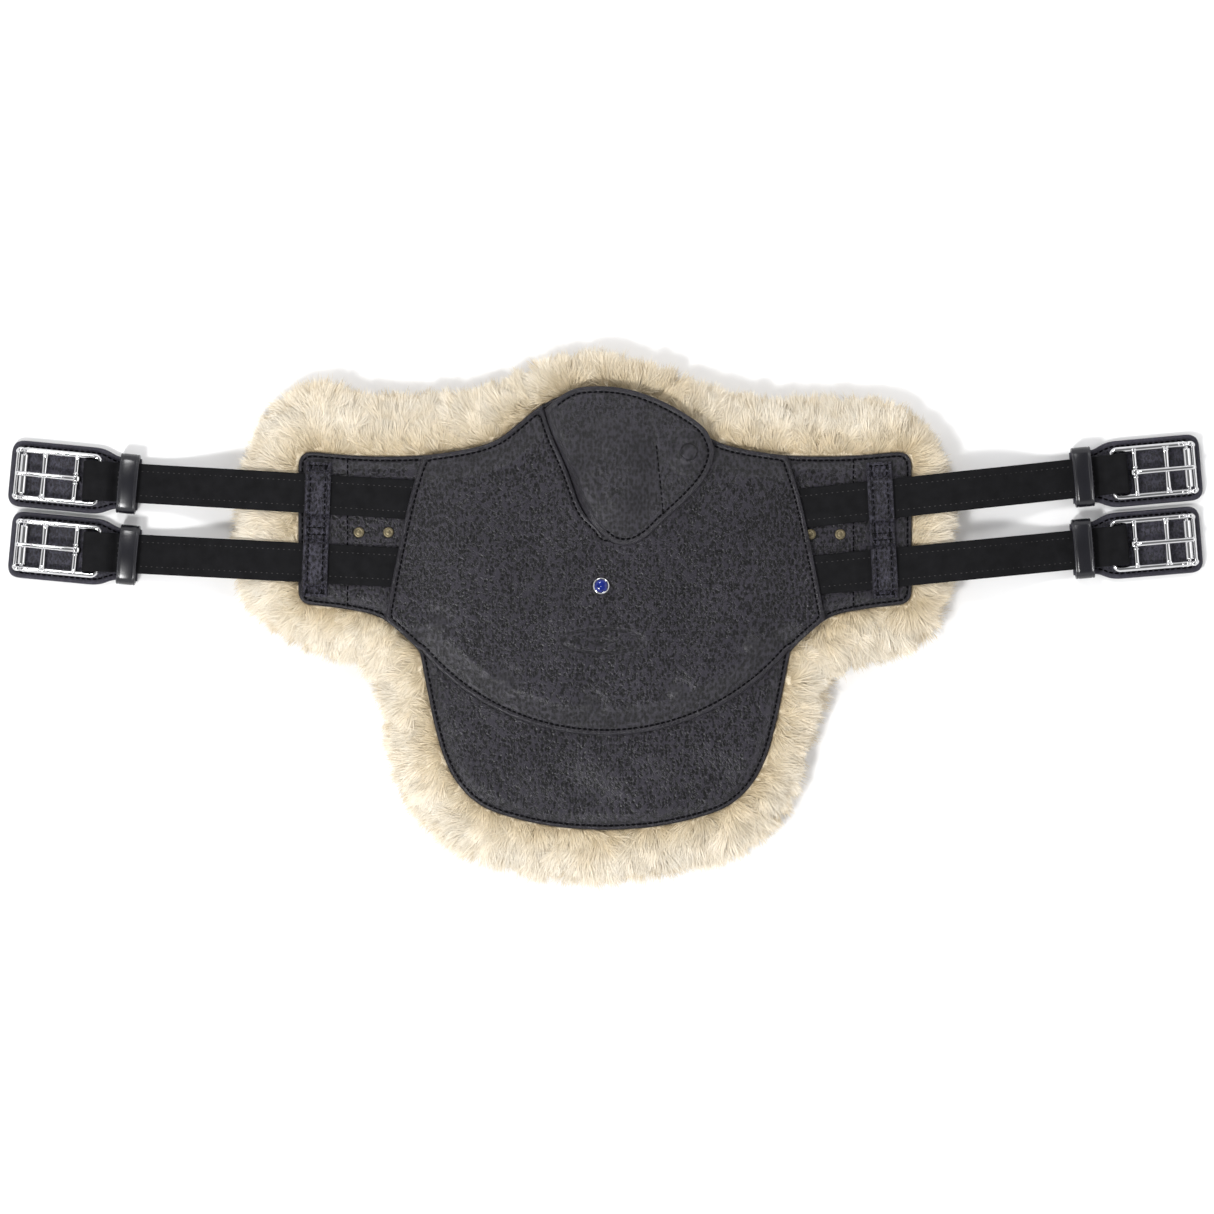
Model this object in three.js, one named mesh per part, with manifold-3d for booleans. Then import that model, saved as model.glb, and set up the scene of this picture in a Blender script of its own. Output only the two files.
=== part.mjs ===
// Belly-guard girth for a horse: a grained leather guard on a lambskin pad, with two webbing straps on each
// side that end in roller buckles, and a snap hook for a martingale kept under a press-stud flap.
//
// Millimetres. It lies face up: +X to its right, +Y to its front edge, +Z up, and the pile rests on z = 0.

import * as THREE from "three";
import { mergeVertices } from "three/addons/utils/BufferGeometryUtils.js";
import Module from "manifold-3d";

const wasm = await Module();
wasm.setup();

// ---------------------------------------------------------------- driving dimensions

const GAP = 0.3; // between pieces that touch
const CLEARANCE = 0.35; // radial, round a pin or a bar
const INNER_SHIFT = -3.4; // the loops and the rivets sit a little left of the leather's middle

// The stack, from the surface it lies on up to the leather's face.
const PILE_FLOOR = 18.3; // top of the pile under the hide
const PILE_RIM = 25; // top of the pile that curls up round the leather
const HIDE = { z: 18.6, t: 1.2 };
const CORE = { z: 21.1, t: 1.5 };
const BASE = { z: 22.9, t: 2.4 };
const BASE_TOP = BASE.z + BASE.t;
const ON_BASE = BASE_TOP + GAP;

// The guard shield, sewn down along its front and rear edges and open at its sides, where the straps go in.
const SHIELD = { t: 2.2, sideRise: 2.6, middleRise: 4, ramp: 17, radius: 150, centreY: 76.2 };
const SHIELD_TOP = ON_BASE + SHIELD.middleRise + SHIELD.t;

// Straps, in a frame of their own: x outwards along the strap, y across it, z up.
const STRAP = { width: 24.6, t: 2.2, innerEnd: -146, bar: 120.6, rivet: -136 };
const STRAP_LOW = 7.6; // underside of the strap's long layer at the buckle
const TAIL_Z = STRAP_LOW - STRAP.t;
const DROP = { from: 26, to: 84 }; // where the strap comes down off the pad
const ROWS = [
  { side: "left", row: "upper", x: -196.8, y: 77.8, heading: 3.5, turn: 2.0 },
  { side: "left", row: "lower", x: -196.8, y: 34.4, heading: 3.0, turn: 2.4 },
  { side: "right", row: "upper", x: 197.9, y: 76, heading: 6.3, turn: -1.2 },
  { side: "right", row: "lower", x: 197.9, y: 32.6, heading: 5.6, turn: -0.8 },
];

// Double loop on each wing: its middle, its turn, and its two ends from the middle.
const LOOPS = {
  left: { x: -179.9, y: 55.2, turn: -2, ends: [-42.5, 41.5] },
  right: { x: 173.1, y: 51.7, turn: 3, ends: [-40, 45] },
};

// Buckle, measured from its rear bar: x towards the roller, z from the bars' own level.
const BAR_Z = TAIL_Z + STRAP.t + 2.05;
const BUCKLE = {
  railY: 14.8, railR: 1.7, rearR: 1.7, corner: 3,
  tongueBar: 14, tongueBarR: 1.5, midBar: 34, midBarR: 1.6,
  axle: 47, axleR: 1.2, rollerR: 2.6, rollerLength: 24.4, frontBar: 51, frontBarR: 1.15,
};
const SAFE = { z: 2.5, t: 2.6, half: 20.8, neck: 16.2, front: 55.5, back: -26, radius: 8 };
const KEEPER = { x: -19, width: 12, half: 18.75, z: 0.2, height: 17, t: 2 };

// Snap hook under the flap.
const HOOK_Z = 29.1;
const EYE = { x: 6, y: 77, ring: 7, wire: 1.5 };
const HOOK = { x: 6, y: 89, wire: 2.2, gateR: 1.7, pivot: [8.4, 4.4] };
const TAB = { width: 10, t: 1.6, end: 53, rivetY: 60 };

// Flap over the hook: it is sewn along its left edge, folds there, and snaps shut at its right end.
const FLAP = { t: 1.6, ramp: 8.5, bulge: 5.5, foldOffset: 3, kerf: 0.6 };
const FLAP_LOW = SHIELD_TOP + GAP;
const STUD = { x: 52.3, y: 103, lift: 3.4 };

// Rivets: a domed cap, a shank through the layers and a burr under the core plate.
const RIVET = { cap: 3.4, rise: 1.3, shank: 1.5, burr: 3, burrT: 0.7 };
const WING_RIVETS = { from: 131.7, to: 150.1, left: 52.8, right: 51.6 };
const GUARD_RIVETS = { count: 5, radius: 131, pitch: 24.3, middle: -4 }; // degrees from straight back
const EMBLEM = { x: -2.4, y: 19.4, r: 5.2 };

// ---------------------------------------------------------------- materials

const material = (color, roughness, metalness = 0) =>
  new THREE.MeshStandardMaterial({ color, roughness, metalness });
const leather = material(0x2b2930, 0.55);
const smoothLeather = material(0x1d1c21, 0.4);
const webbing = material(0x111113, 0.9);
const wool = material(0xd3c5a6, 1);
const skin = material(0xcdbd9b, 0.9);
const plastic = material(0x26262a, 0.6);
const steel = material(0xd8d8da, 0.15, 1);
const oldBrass = material(0x7a6f55, 0.45, 0.8);
const lacquer = material(0x222127, 0.35, 0.2);
const blueGlass = material(0x14245f, 0.08);

// ---------------------------------------------------------------- solids and shapes

// A closed geometry as a manifold-3d solid.
function solid(geometry) {
  const bare = geometry.index ? geometry.toNonIndexed() : geometry.clone();
  bare.deleteAttribute("normal");
  bare.deleteAttribute("uv");
  const merged = mergeVertices(bare, 1e-4);
  return new wasm.Manifold(
    new wasm.Mesh({
      numProp: 3,
      vertProperties: new Float32Array(merged.attributes.position.array),
      triVerts: new Uint32Array(merged.index.array),
    }),
  );
}

function geometryOf(manifold) {
  const mesh = manifold.getMesh();
  return new THREE.BufferGeometry()
    .setAttribute("position", new THREE.BufferAttribute(new Float32Array(mesh.vertProperties), 3))
    .setIndex(new THREE.BufferAttribute(new Uint32Array(mesh.triVerts), 1));
}

const unite = (parts) => geometryOf(parts.map(solid).reduce((a, b) => a.add(b)));
const cut = (body, tools) => geometryOf(tools.map(solid).reduce((a, b) => a.subtract(b), solid(body)));

// A flat plate from a plan outline.
function plate(shape, z, t) {
  return new THREE.ExtrudeGeometry(shape, { depth: t, bevelEnabled: false, curveSegments: 6 }).translate(0, 0, z);
}

// A shape drawn as (x, z), extruded across a strap and centred on it.
function acrossStrap(shape, width) {
  return new THREE.ExtrudeGeometry(shape, { depth: width, bevelEnabled: false, curveSegments: 6 })
    .rotateX(Math.PI / 2)
    .translate(0, width / 2, 0);
}

// A shape drawn as (y, z), extruded along a strap from x.
function alongStrap(shape, x, length) {
  const turn = new THREE.Matrix4().set(0, 0, 1, 0, 1, 0, 0, 0, 0, 1, 0, 0, 0, 0, 0, 1);
  return new THREE.ExtrudeGeometry(shape, { depth: length, bevelEnabled: false, curveSegments: 4 })
    .applyMatrix4(turn)
    .translate(x, 0, 0);
}

// An upright cylinder between two heights.
function post(x, y, r, z0, z1, sides = 12) {
  return new THREE.CylinderGeometry(r, r, z1 - z0, sides).rotateX(Math.PI / 2).translate(x, y, (z0 + z1) / 2);
}

// A round rod across a strap, along y.
function crossRod(x, z, r, half, sides = 8) {
  return new THREE.CylinderGeometry(r, r, 2 * half, sides).translate(x, 0, z);
}

// A round wire along a 3-D curve.
function wire(curve, r, steps, sides = 8) {
  const ring = new THREE.Shape().absarc(0, 0, r, 0, 2 * Math.PI);
  const corners = ring.getPoints(sides).slice(0, sides);
  return new THREE.ExtrudeGeometry(new THREE.Shape(corners), { steps, extrudePath: curve, bevelEnabled: false });
}

// A body of revolution about +Z from (r, z) pairs that start and end on the axis, or close on themselves.
function turned(profile, segments = 14) {
  const points = profile.map(([r, z]) => new THREE.Vector2(r, z));
  return new THREE.LatheGeometry(points, segments).rotateX(Math.PI / 2);
}

const curveThrough = (points) => new THREE.SplineCurve(points.map(([x, y]) => new THREE.Vector2(x, y)));
const smoothstep = (t) => THREE.MathUtils.smoothstep(t, 0, 1);

function distanceTo(points, x, y) {
  let best = Infinity;
  for (let i = 1; i < points.length; i++) {
    const a = points[i - 1];
    const b = points[i];
    const dx = b.x - a.x;
    const dy = b.y - a.y;
    const t = THREE.MathUtils.clamp(((x - a.x) * dx + (y - a.y) * dy) / (dx * dx + dy * dy), 0, 1);
    best = Math.min(best, Math.hypot(x - a.x - t * dx, y - a.y - t * dy));
  }
  return best;
}

// A sheet of even thickness whose underside follows height(x, y), trimmed to a plan outline.
function drapedSheet(shape, height, t, step) {
  const box = new THREE.Box2().setFromPoints(shape.getPoints(8));
  const size = box.getSize(new THREE.Vector2()).addScalar(2);
  const middle = box.getCenter(new THREE.Vector2());
  const columns = Math.ceil(size.x / step);
  const lines = Math.ceil(size.y / step);
  const sheet = new THREE.BoxGeometry(size.x, size.y, t, columns, lines, 1).translate(middle.x, middle.y, t / 2);
  const at = sheet.attributes.position;
  for (let i = 0; i < at.count; i++) at.setZ(i, at.getZ(i) + height(at.getX(i), at.getY(i)));
  return geometryOf(solid(sheet).intersect(solid(plate(shape, 0, 80))));
}

// ---------------------------------------------------------------- plan outlines

// Right half of the leather's front edge, from the middle of the hump to the wing's corner.
const frontEdge = curveThrough([
  [0, 144], [15, 142], [31, 136.6], [44, 129], [55.5, 119.5], [67, 111], [83, 105.5], [113, 101],
  [148, 100.4], [183, 103],
]).getPoints(36);

// Right half of its rear edge, from the wing's corner to the notch, and from there round the apron.
const wingRear = curveThrough([[183, 7.5], [160, 4.6], [140, -0.5], [123, -14], [115.5, -22]]).getPoints(14);
const apronEdge = curveThrough([
  [115.5, -22], [111.5, -43], [106.5, -67], [100, -89], [90, -106.5], [75, -119], [53, -126.5], [27, -131.4],
  [0, -133],
]).getPoints(22);
const wingCorner = (ax, ay, bx, by, cx, cy) =>
  new THREE.QuadraticBezierCurve(
    new THREE.Vector2(ax, ay), new THREE.Vector2(bx, by), new THREE.Vector2(cx, cy),
  ).getPoints(5);

// Closes a right half, given from the front to the rear, with its mirror image.
function mirrored(half) {
  const left = half.slice(1, -1).reverse().map((p) => new THREE.Vector2(-p.x, p.y));
  return new THREE.Shape([...half, ...left].filter((p, i, all) => i === 0 || p.distanceTo(all[i - 1]) > 0.05));
}

const baseOutline = mirrored([
  ...frontEdge,
  ...wingCorner(183, 103, 191.4, 103, 191.4, 94),
  ...wingCorner(191.4, 17, 191.4, 8, 183, 7.5),
  ...wingRear,
  ...apronEdge,
]);

// The shield shares the front edge, leaves it for its own side edges and ends in one arc at the rear.
const shieldSide = curveThrough([[113.6, 100.6], [121.8, 74], [129.8, 37.5], [137, 0]]).getPoints(10);
const shieldRear = [
  new THREE.Vector2(137, -1.6),
  ...wingRear.filter((p) => p.x < 136 && p.x > 117),
  ...new THREE.EllipseCurve(0, SHIELD.centreY, SHIELD.radius, SHIELD.radius, -0.699, -Math.PI / 2, true).getPoints(16),
];
const shieldOutline = mirrored([...frontEdge.filter((p) => p.x < 112), ...shieldSide, ...shieldRear]);

// The flap: first the edge that is sewn under the shield, from its front end, then the free edge back round.
const sewnEdge = [[-37.7, 129.4], [-32.9, 113.8], [-23.3, 91.9], [-15.2, 70], [-7, 56.6]];
const freeEdge = [
  [-7, 56.6], [3.8, 47], [14.8, 45], [25.4, 49.7], [36.4, 60], [51.4, 73.8], [62.3, 86.3], [67.9, 100],
  [66.4, 110], [60.9, 118.8], [47.3, 128.4], [31, 136.6], [14.7, 141.9], [-1.6, 143.8], [-17.9, 142.6],
  [-28.9, 136.9], [-37.7, 129.4],
];
const sewnPoints = curveThrough(sewnEdge).getPoints(10);
const flapOutline = new THREE.Shape([...sewnPoints, ...curveThrough(freeEdge).getPoints(44).slice(1, -1)]);

// The lambskin, as cut: an uneven edge all round the leather.
const pileOutline = new THREE.Shape(
  new THREE.CatmullRomCurve3(
    [
      [-3, 165], [-40, 159], [-66, 146], [-103, 139], [-150, 139], [-180, 146], [-208, 131], [-223, 104],
      [-229, 70], [-231, 36], [-221, 5], [-184, -20], [-152, -32], [-139, -58], [-134, -92], [-120, -121],
      [-93, -146], [-45, -162], [0, -165], [50, -158], [88, -145], [115, -119], [124, -92], [134, -62],
      [148, -34], [190, -21], [213, 5], [217, 54], [214, 98], [187, 129], [150, 136], [109, 135.6],
      [68, 142], [36, 155],
    ].map(([x, y]) => new THREE.Vector3(x, y, 0)),
    true,
  ).getPoints(66).slice(0, -1).map((p) => new THREE.Vector2(p.x, p.y)).reverse(),
);

// ---------------------------------------------------------------- heights of the draped sheets

const shieldArc = shieldRear.slice(-17);
const seams = [frontEdge, shieldArc].map((line) => [line, line.map((p) => new THREE.Vector2(-p.x, p.y))]).flat();

function shieldHeight(x, y) {
  const seam = Math.min(...seams.map((line) => distanceTo(line, x, y)));
  const inwards = smoothstep((120 - Math.abs(x)) / 35);
  const rise = SHIELD.sideRise + (SHIELD.middleRise - SHIELD.sideRise) * inwards;
  const level = smoothstep(1.8 - Math.hypot(x - STUD.x, y - STUD.y) / 8);
  const slope = rise * smoothstep((seam - 3) / (SHIELD.ramp - 3));
  return ON_BASE + THREE.MathUtils.lerp(slope, SHIELD.middleRise, level);
}

function flapHeight(x, y) {
  const hook = FLAP.bulge * Math.exp(-(((x - 4) / 24) ** 2) - ((y - 82) / 31) ** 2);
  const stud = STUD.lift * smoothstep(1.6 - Math.hypot(x - STUD.x, y - STUD.y) / 11);
  const top = FLAP_LOW + hook + stud;
  return ON_BASE + (top - ON_BASE) * smoothstep(distanceTo(sewnPoints, x, y) / FLAP.ramp);
}

// ---------------------------------------------------------------- the assembly

const girth = new THREE.Group();

function add(name, geometry, finish, parent = girth) {
  const mesh = new THREE.Mesh(geometry, finish);
  mesh.name = name;
  parent.add(mesh);
  return mesh;
}

function frameAt(x, y, z, turnZ, parent = girth) {
  const group = new THREE.Group();
  group.position.set(x, y, z);
  group.rotation.z = turnZ;
  parent.add(group);
  return group;
}

const radians = THREE.MathUtils.degToRad;

const guardRivets = Array.from({ length: GUARD_RIVETS.count }, (_, i) => {
  const angle = radians(GUARD_RIVETS.middle + GUARD_RIVETS.pitch * (i - (GUARD_RIVETS.count - 1) / 2));
  return [GUARD_RIVETS.radius * Math.sin(angle), SHIELD.centreY - GUARD_RIVETS.radius * Math.cos(angle)];
});
const wingRivets = ["left", "right"].flatMap((side) =>
  [["inner", WING_RIVETS.from], ["outer", WING_RIVETS.to]].map(([place, x]) => ({
    name: `wing_rivet_${side}_${place}`,
    at: [INNER_SHIFT + (side === "left" ? -x : x), WING_RIVETS[side]],
  })),
);
const outwards = (spec) => (spec.side === "left" ? Math.PI - radians(spec.heading) : radians(spec.heading));
const strapRivets = ROWS.map((spec) => ({
  name: `strap_rivet_${spec.side}_${spec.row}`,
  at: [spec.x + STRAP.rivet * Math.cos(outwards(spec)), spec.y + STRAP.rivet * Math.sin(outwards(spec))],
}));
const tabRivet = [EYE.x, TAB.rivetY];
const throughHoles = [...guardRivets, ...wingRivets.map((r) => r.at), ...strapRivets.map((r) => r.at), tabRivet];
const holesAt = (places, r, z0, z1) => places.map(([x, y]) => post(x, y, r, z0, z1));

// Lambskin: the pile is one soft pad with a recess for the leather, and the hide lies in it.
function lambskin() {
  const roll = 8;
  const pad = new THREE.ExtrudeGeometry(pileOutline, {
    depth: PILE_RIM - 2 * roll,
    bevelThickness: roll,
    bevelSize: roll,
    bevelOffset: -roll,
    bevelSegments: 3,
  }).translate(0, 0, roll);
  add("lambskin_pile", cut(pad, [plate(baseOutline, PILE_FLOOR, 20)]), wool);
  const trimmed = new THREE.Shape(baseOutline.getPoints(1).map((p) => p.clone().multiplyScalar(0.994)));
  add("lambskin_hide", plate(trimmed, HIDE.z, HIDE.t), skin);
}

// Core: a stiff plate between the hide and the leather, from wing to wing, that every rivet goes through.
function corePlate() {
  const reach = 157;
  const half = [
    [0, 118], [34, 113], [60, 92], [reach, 88], [reach, 20], [118, 8], [102, -14], [78, -38], [44, -59],
    [0, -66],
  ].map(([x, y]) => new THREE.Vector2(x, y));
  const body = plate(mirrored(half), CORE.z, CORE.t).translate(INNER_SHIFT, 0, 0);
  add("core_plate", cut(body, holesAt(throughHoles, RIVET.shank + 0.4, 10, 40)), plastic);
}

function basePanel() {
  const body = plate(baseOutline, BASE.z, BASE.t);
  add("base_panel", cut(body, holesAt(throughHoles, RIVET.shank + 0.4, 10, 40)), leather);
}

// Shield, with the opening that the hook lies in and the holes of the emblem and the press stud.
function guardShield() {
  const opening = new THREE.Shape([
    ...sewnPoints.map((p) => new THREE.Vector2(p.x - 0.4, p.y)),
    ...[[-4, 50], [6, 50.5], [20, 56], [28, 66], [31, 100], [30, 160], [-40, 160]].map(([x, y]) => new THREE.Vector2(x, y)),
  ]);
  const sheet = drapedSheet(shieldOutline, shieldHeight, SHIELD.t, 12);
  add(
    "guard_shield",
    cut(sheet, [
      plate(opening, 20, 40),
      post(EMBLEM.x, EMBLEM.y, 1.5, 20, 60),
      post(STUD.x, STUD.y, 1.9, 20, 60),
    ]),
    leather,
  );
}

// Double loop on each wing: one strip, sewn down at its ends and between the two straps it holds.
function strapLoop(side) {
  const t = 2;
  const top = STRAP.t + 2 * GAP;
  const { x, y, turn, ends } = LOOPS[side];
  const arch = (from, to) => [[from, 0], [from + 2.2, top], [to - 2.2, top], [to, 0]];
  const under = [[ends[0], 0], ...arch(-37, -6.2), ...arch(6.2, 37), [ends[1], 0]];
  const profile = new THREE.Shape(
    [...under, ...under.map(([y, z]) => [y, z + t]).reverse()].map(([y, z]) => new THREE.Vector2(y, ON_BASE + z)),
  );
  const loop = frameAt(x, y, 0, radians(turn));
  add(`strap_loop_${side}`, alongStrap(profile, -8, 16), leather, loop);
}

// Side view of a strap: flat on the wing, down to the buckle, round the rear bar in a long pocket and back
// under itself as a short sewn tail.
function strapProfile() {
  const { t, innerEnd, bar } = STRAP;
  const drop = (x, lift) => {
    const share = smoothstep((x - DROP.from) / (DROP.to - DROP.from));
    return ON_BASE + (STRAP_LOW - ON_BASE) * share + lift;
  };
  const steps = Array.from({ length: 13 }, (_, i) => DROP.from + ((DROP.to - DROP.from) * i) / 12);
  const tailEnd = bar - 34;
  const foldX = bar + 5.2;
  const outer = t + 2.05;
  const profile = new THREE.Shape();
  profile.moveTo(innerEnd, ON_BASE);
  steps.forEach((x) => profile.lineTo(x, drop(x, 0)));
  profile.lineTo(tailEnd, STRAP_LOW);
  profile.lineTo(tailEnd, TAIL_Z);
  profile.lineTo(foldX, TAIL_Z);
  profile.absarc(foldX, BAR_Z, outer, -Math.PI / 2, Math.PI / 2, false);
  profile.lineTo(bar - 3.5, BAR_Z + outer);
  profile.bezierCurveTo(bar - 6.5, BAR_Z + outer, bar - 7.5, STRAP_LOW + t, bar - 12, STRAP_LOW + t);
  steps.reverse().forEach((x) => profile.lineTo(x, drop(x, t)));
  profile.lineTo(innerEnd, ON_BASE + t);
  const pocket = new THREE.Path();
  pocket.moveTo(bar - 9.5, STRAP_LOW + 0.05);
  pocket.bezierCurveTo(bar - 7, BAR_Z, bar - 5.5, BAR_Z + 2.05, bar - 3, BAR_Z + 2.05);
  pocket.lineTo(foldX, BAR_Z + 2.05);
  pocket.absarc(foldX, BAR_Z, 2.05, Math.PI / 2, -Math.PI / 2, true);
  pocket.lineTo(bar - 9.5, STRAP_LOW);
  profile.holes.push(pocket);
  return profile;
}

// Safe: the leather pad behind the buckle, necked down where the keeper goes round it.
function safeShape() {
  const { half, neck, front, back, radius } = SAFE;
  const s = new THREE.Shape();
  s.moveTo(back, -neck);
  s.lineTo(-15, -neck);
  s.bezierCurveTo(-7, -neck, -7, -half, 4, -half);
  s.lineTo(front - radius, -half);
  s.quadraticCurveTo(front, -half, front, -half + radius);
  s.lineTo(front, half - radius);
  s.quadraticCurveTo(front, half, front - radius, half);
  s.lineTo(4, half);
  s.bezierCurveTo(-7, half, -7, neck, -15, neck);
  s.lineTo(back, neck);
  return s;
}

// Keeper: a flat leather ring that runs on the strap.
function keeperShape() {
  const ring = (half, z0, z1, r, path) => {
    path.moveTo(-half + r, z0);
    path.lineTo(half - r, z0);
    path.quadraticCurveTo(half, z0, half, z0 + r);
    path.lineTo(half, z1 - r);
    path.quadraticCurveTo(half, z1, half - r, z1);
    path.lineTo(-half + r, z1);
    path.quadraticCurveTo(-half, z1, -half, z1 - r);
    path.lineTo(-half, z0 + r);
    path.quadraticCurveTo(-half, z0, -half + r, z0);
    return path;
  };
  const { half, z, height, t } = KEEPER;
  const outer = ring(half, z, z + height, 4, new THREE.Shape());
  outer.holes.push(ring(half - t, z + t, z + height - t, 0.5, new THREE.Path()));
  return outer;
}

// Buckle frame: rails and rear bar in one bent wire, with the middle, tongue, axle and front bars across it.
function buckleFrame() {
  const b = BUCKLE;
  const y = b.railY;
  const v = (x, yy) => new THREE.Vector3(x, yy, 0);
  const corner = (sx, dx, s) => new THREE.QuadraticBezierCurve3(v(sx, s * (y - dx)), v(sx, s * y), v(sx + dx, s * y));
  const railFrom = b.corner - 0.3;
  const rail = (s) =>
    new THREE.CylinderGeometry(b.railR, b.railR, b.frontBar - 1.3 - railFrom, 8)
      .rotateZ(Math.PI / 2)
      .translate((b.frontBar - 1.3 + railFrom) / 2, s * y, 0);
  const bars = [
    crossRod(0, 0, b.rearR, y - b.corner + 0.2),
    crossRod(b.tongueBar, 0, b.tongueBarR, y),
    crossRod(b.midBar, 0, b.midBarR, y),
    crossRod(b.axle, 0, b.axleR, y),
    new THREE.CylinderGeometry(b.frontBarR, b.frontBarR, 2 * y - 0.8, 8).rotateY(Math.PI / 8)
      .translate(b.frontBar, 0, 0),
  ];
  const joints = [-1, 1].flatMap((s) => [
    rail(s),
    wire(corner(0, b.corner, s), b.rearR, 3),
    new THREE.SphereGeometry(b.railR, 8, 6).translate(b.frontBar - 1.3, s * y, 0),
    crossRod(b.tongueBar, 0, 2.3, 0.6).translate(0, s * 3.1, 0),
    new THREE.CylinderGeometry(b.midBarR, b.midBarR + 1.1, 2.4, 8).rotateX(s > 0 ? Math.PI : 0)
      .translate(b.midBar, s * (y - 2.4), 0),
  ]);
  return unite([...bars, ...joints]);
}

// Tongue: a ring round its bar and a long arm that rests over the roller.
function buckleTongue() {
  const b = BUCKLE;
  const ring = new THREE.Shape().absarc(b.tongueBar, 0, b.tongueBarR + CLEARANCE + 1.7, 0, 2 * Math.PI);
  ring.holes.push(new THREE.Path().absarc(b.tongueBar, 0, b.tongueBarR + CLEARANCE, 0, 2 * Math.PI, true));
  const from = new THREE.Vector3(b.tongueBar + 1.2, 0, 2.9);
  const to = new THREE.Vector3(b.frontBar + 0.7, 0, 4.4);
  const along = to.clone().sub(from);
  const arm = new THREE.CylinderGeometry(1.2, 1.65, along.length(), 10)
    .applyQuaternion(new THREE.Quaternion().setFromUnitVectors(new THREE.Vector3(0, 1, 0), along.clone().normalize()))
    .translate(...from.clone().lerp(to, 0.5).toArray());
  const tip = new THREE.SphereGeometry(1.2, 10, 6).translate(to.x, to.y, to.z);
  return unite([acrossStrap(ring, 3.6), arm, tip]);
}

function buckleRoller() {
  const { rollerR, rollerLength, axleR } = BUCKLE;
  const half = rollerLength / 2;
  const inner = axleR + 0.25;
  return turned([[inner, -half], [rollerR, -half], [rollerR, half], [inner, half], [inner, -half]], 14)
    .rotateX(Math.PI / 2);
}

// One strap with its buckle, safe, keeper and rivet.
function strapAssembly(spec) {
  const id = `${spec.side}_${spec.row}`;
  const line = frameAt(spec.x, spec.y, 0, outwards(spec));
  const rivetHole = post(STRAP.rivet, 0, RIVET.shank + 0.4, 10, 40);
  add(`strap_${id}`, cut(acrossStrap(strapProfile(), STRAP.width), [rivetHole]), webbing, line);
  const turn = radians(spec.side === "left" ? -spec.turn : spec.turn);
  const end = frameAt(STRAP.bar, 0, 0, turn, line);
  add(`keeper_${id}`, alongStrap(keeperShape(), KEEPER.x - KEEPER.width / 2, KEEPER.width), smoothLeather, end);
  add(`buckle_safe_${id}`, plate(safeShape(), SAFE.z, SAFE.t), leather, end);
  const buckle = frameAt(0, 0, BAR_Z, 0, end);
  add(`buckle_frame_${id}`, buckleFrame(), steel, buckle);
  add(`tongue_${id}`, buckleTongue(), steel, buckle);
  add(`roller_${id}`, buckleRoller(), steel, buckle).position.set(BUCKLE.axle, 0, 0);
}

// A rivet whose cap sits at capZ and whose burr sits under the core plate.
function rivet(name, [x, y], capZ) {
  const { cap, rise, shank, burr, burrT } = RIVET;
  const low = CORE.z - GAP - burrT;
  const profile = [
    [0, low], [burr, low], [burr, low + burrT], [shank, low + burrT], [shank, capZ], [cap, capZ],
    [cap * 0.86, capZ + rise * 0.6], [cap * 0.5, capZ + rise * 0.92], [0, capZ + rise],
  ];
  add(name, turned(profile, 12), oldBrass).position.set(x, y, 0);
}

function rivets() {
  wingRivets.forEach((r) => rivet(r.name, r.at, ON_BASE));
  guardRivets.forEach((at, i) => rivet(`guard_rivet_${i + 1}`, at, ON_BASE));
  strapRivets.forEach((r) => rivet(r.name, r.at, ON_BASE + STRAP.t + GAP));
  rivet("tab_rivet", tabRivet, ON_BASE + 2 * TAB.t + 2 * GAP);
}

function emblem() {
  const { r } = EMBLEM;
  const z = SHIELD_TOP + GAP;
  const rim = [
    [0, z - 4], [1.2, z - 4], [1.2, z], [r, z], [r, z + 1.2], [r - 0.5, z + 1.7], [r - 0.9, z + 1.7],
    [r - 0.9, z + 0.6], [0, z + 0.6],
  ];
  add("emblem_bezel", turned(rim, 20), steel).position.set(EMBLEM.x, EMBLEM.y, 0);
  const low = z + 0.9;
  const dome = [[0, low], [r - 1.2, low], [r - 1.2, low + 0.5], [r * 0.6, low + 1.3], [r * 0.3, low + 1.6], [0, low + 1.7]];
  add("emblem_cabochon", turned(dome, 20), blueGlass).position.set(EMBLEM.x, EMBLEM.y, 0);
}

// The fold: a line beside the chord of the sewn edge, with the hinge axis level with the shield's face.
const foldStart = new THREE.Vector2(...sewnEdge[0]);
const foldAlong = new THREE.Vector2(...sewnEdge.at(-1)).sub(foldStart).normalize();
const foldAcross = new THREE.Vector2(-foldAlong.y, foldAlong.x);

function flap() {
  const sheet = cut(drapedSheet(flapOutline, flapHeight, FLAP.t, 6), [post(STUD.x, STUD.y, 1.6, 20, 60)]);
  const slab = (from, to) => {
    const corner = (along, across) =>
      foldStart.clone().addScaledVector(foldAlong, along).addScaledVector(foldAcross, across);
    return plate(new THREE.Shape([corner(-60, from), corner(160, from), corner(160, to), corner(-60, to)]), 10, 60);
  };
  const fold = FLAP.foldOffset;
  add("hook_flap", cut(sheet, [slab(-100, fold + FLAP.kerf / 2)]), leather);
  add("flap_sewn_edge", cut(sheet, [slab(fold - FLAP.kerf / 2, 200)]), leather);
}

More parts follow.
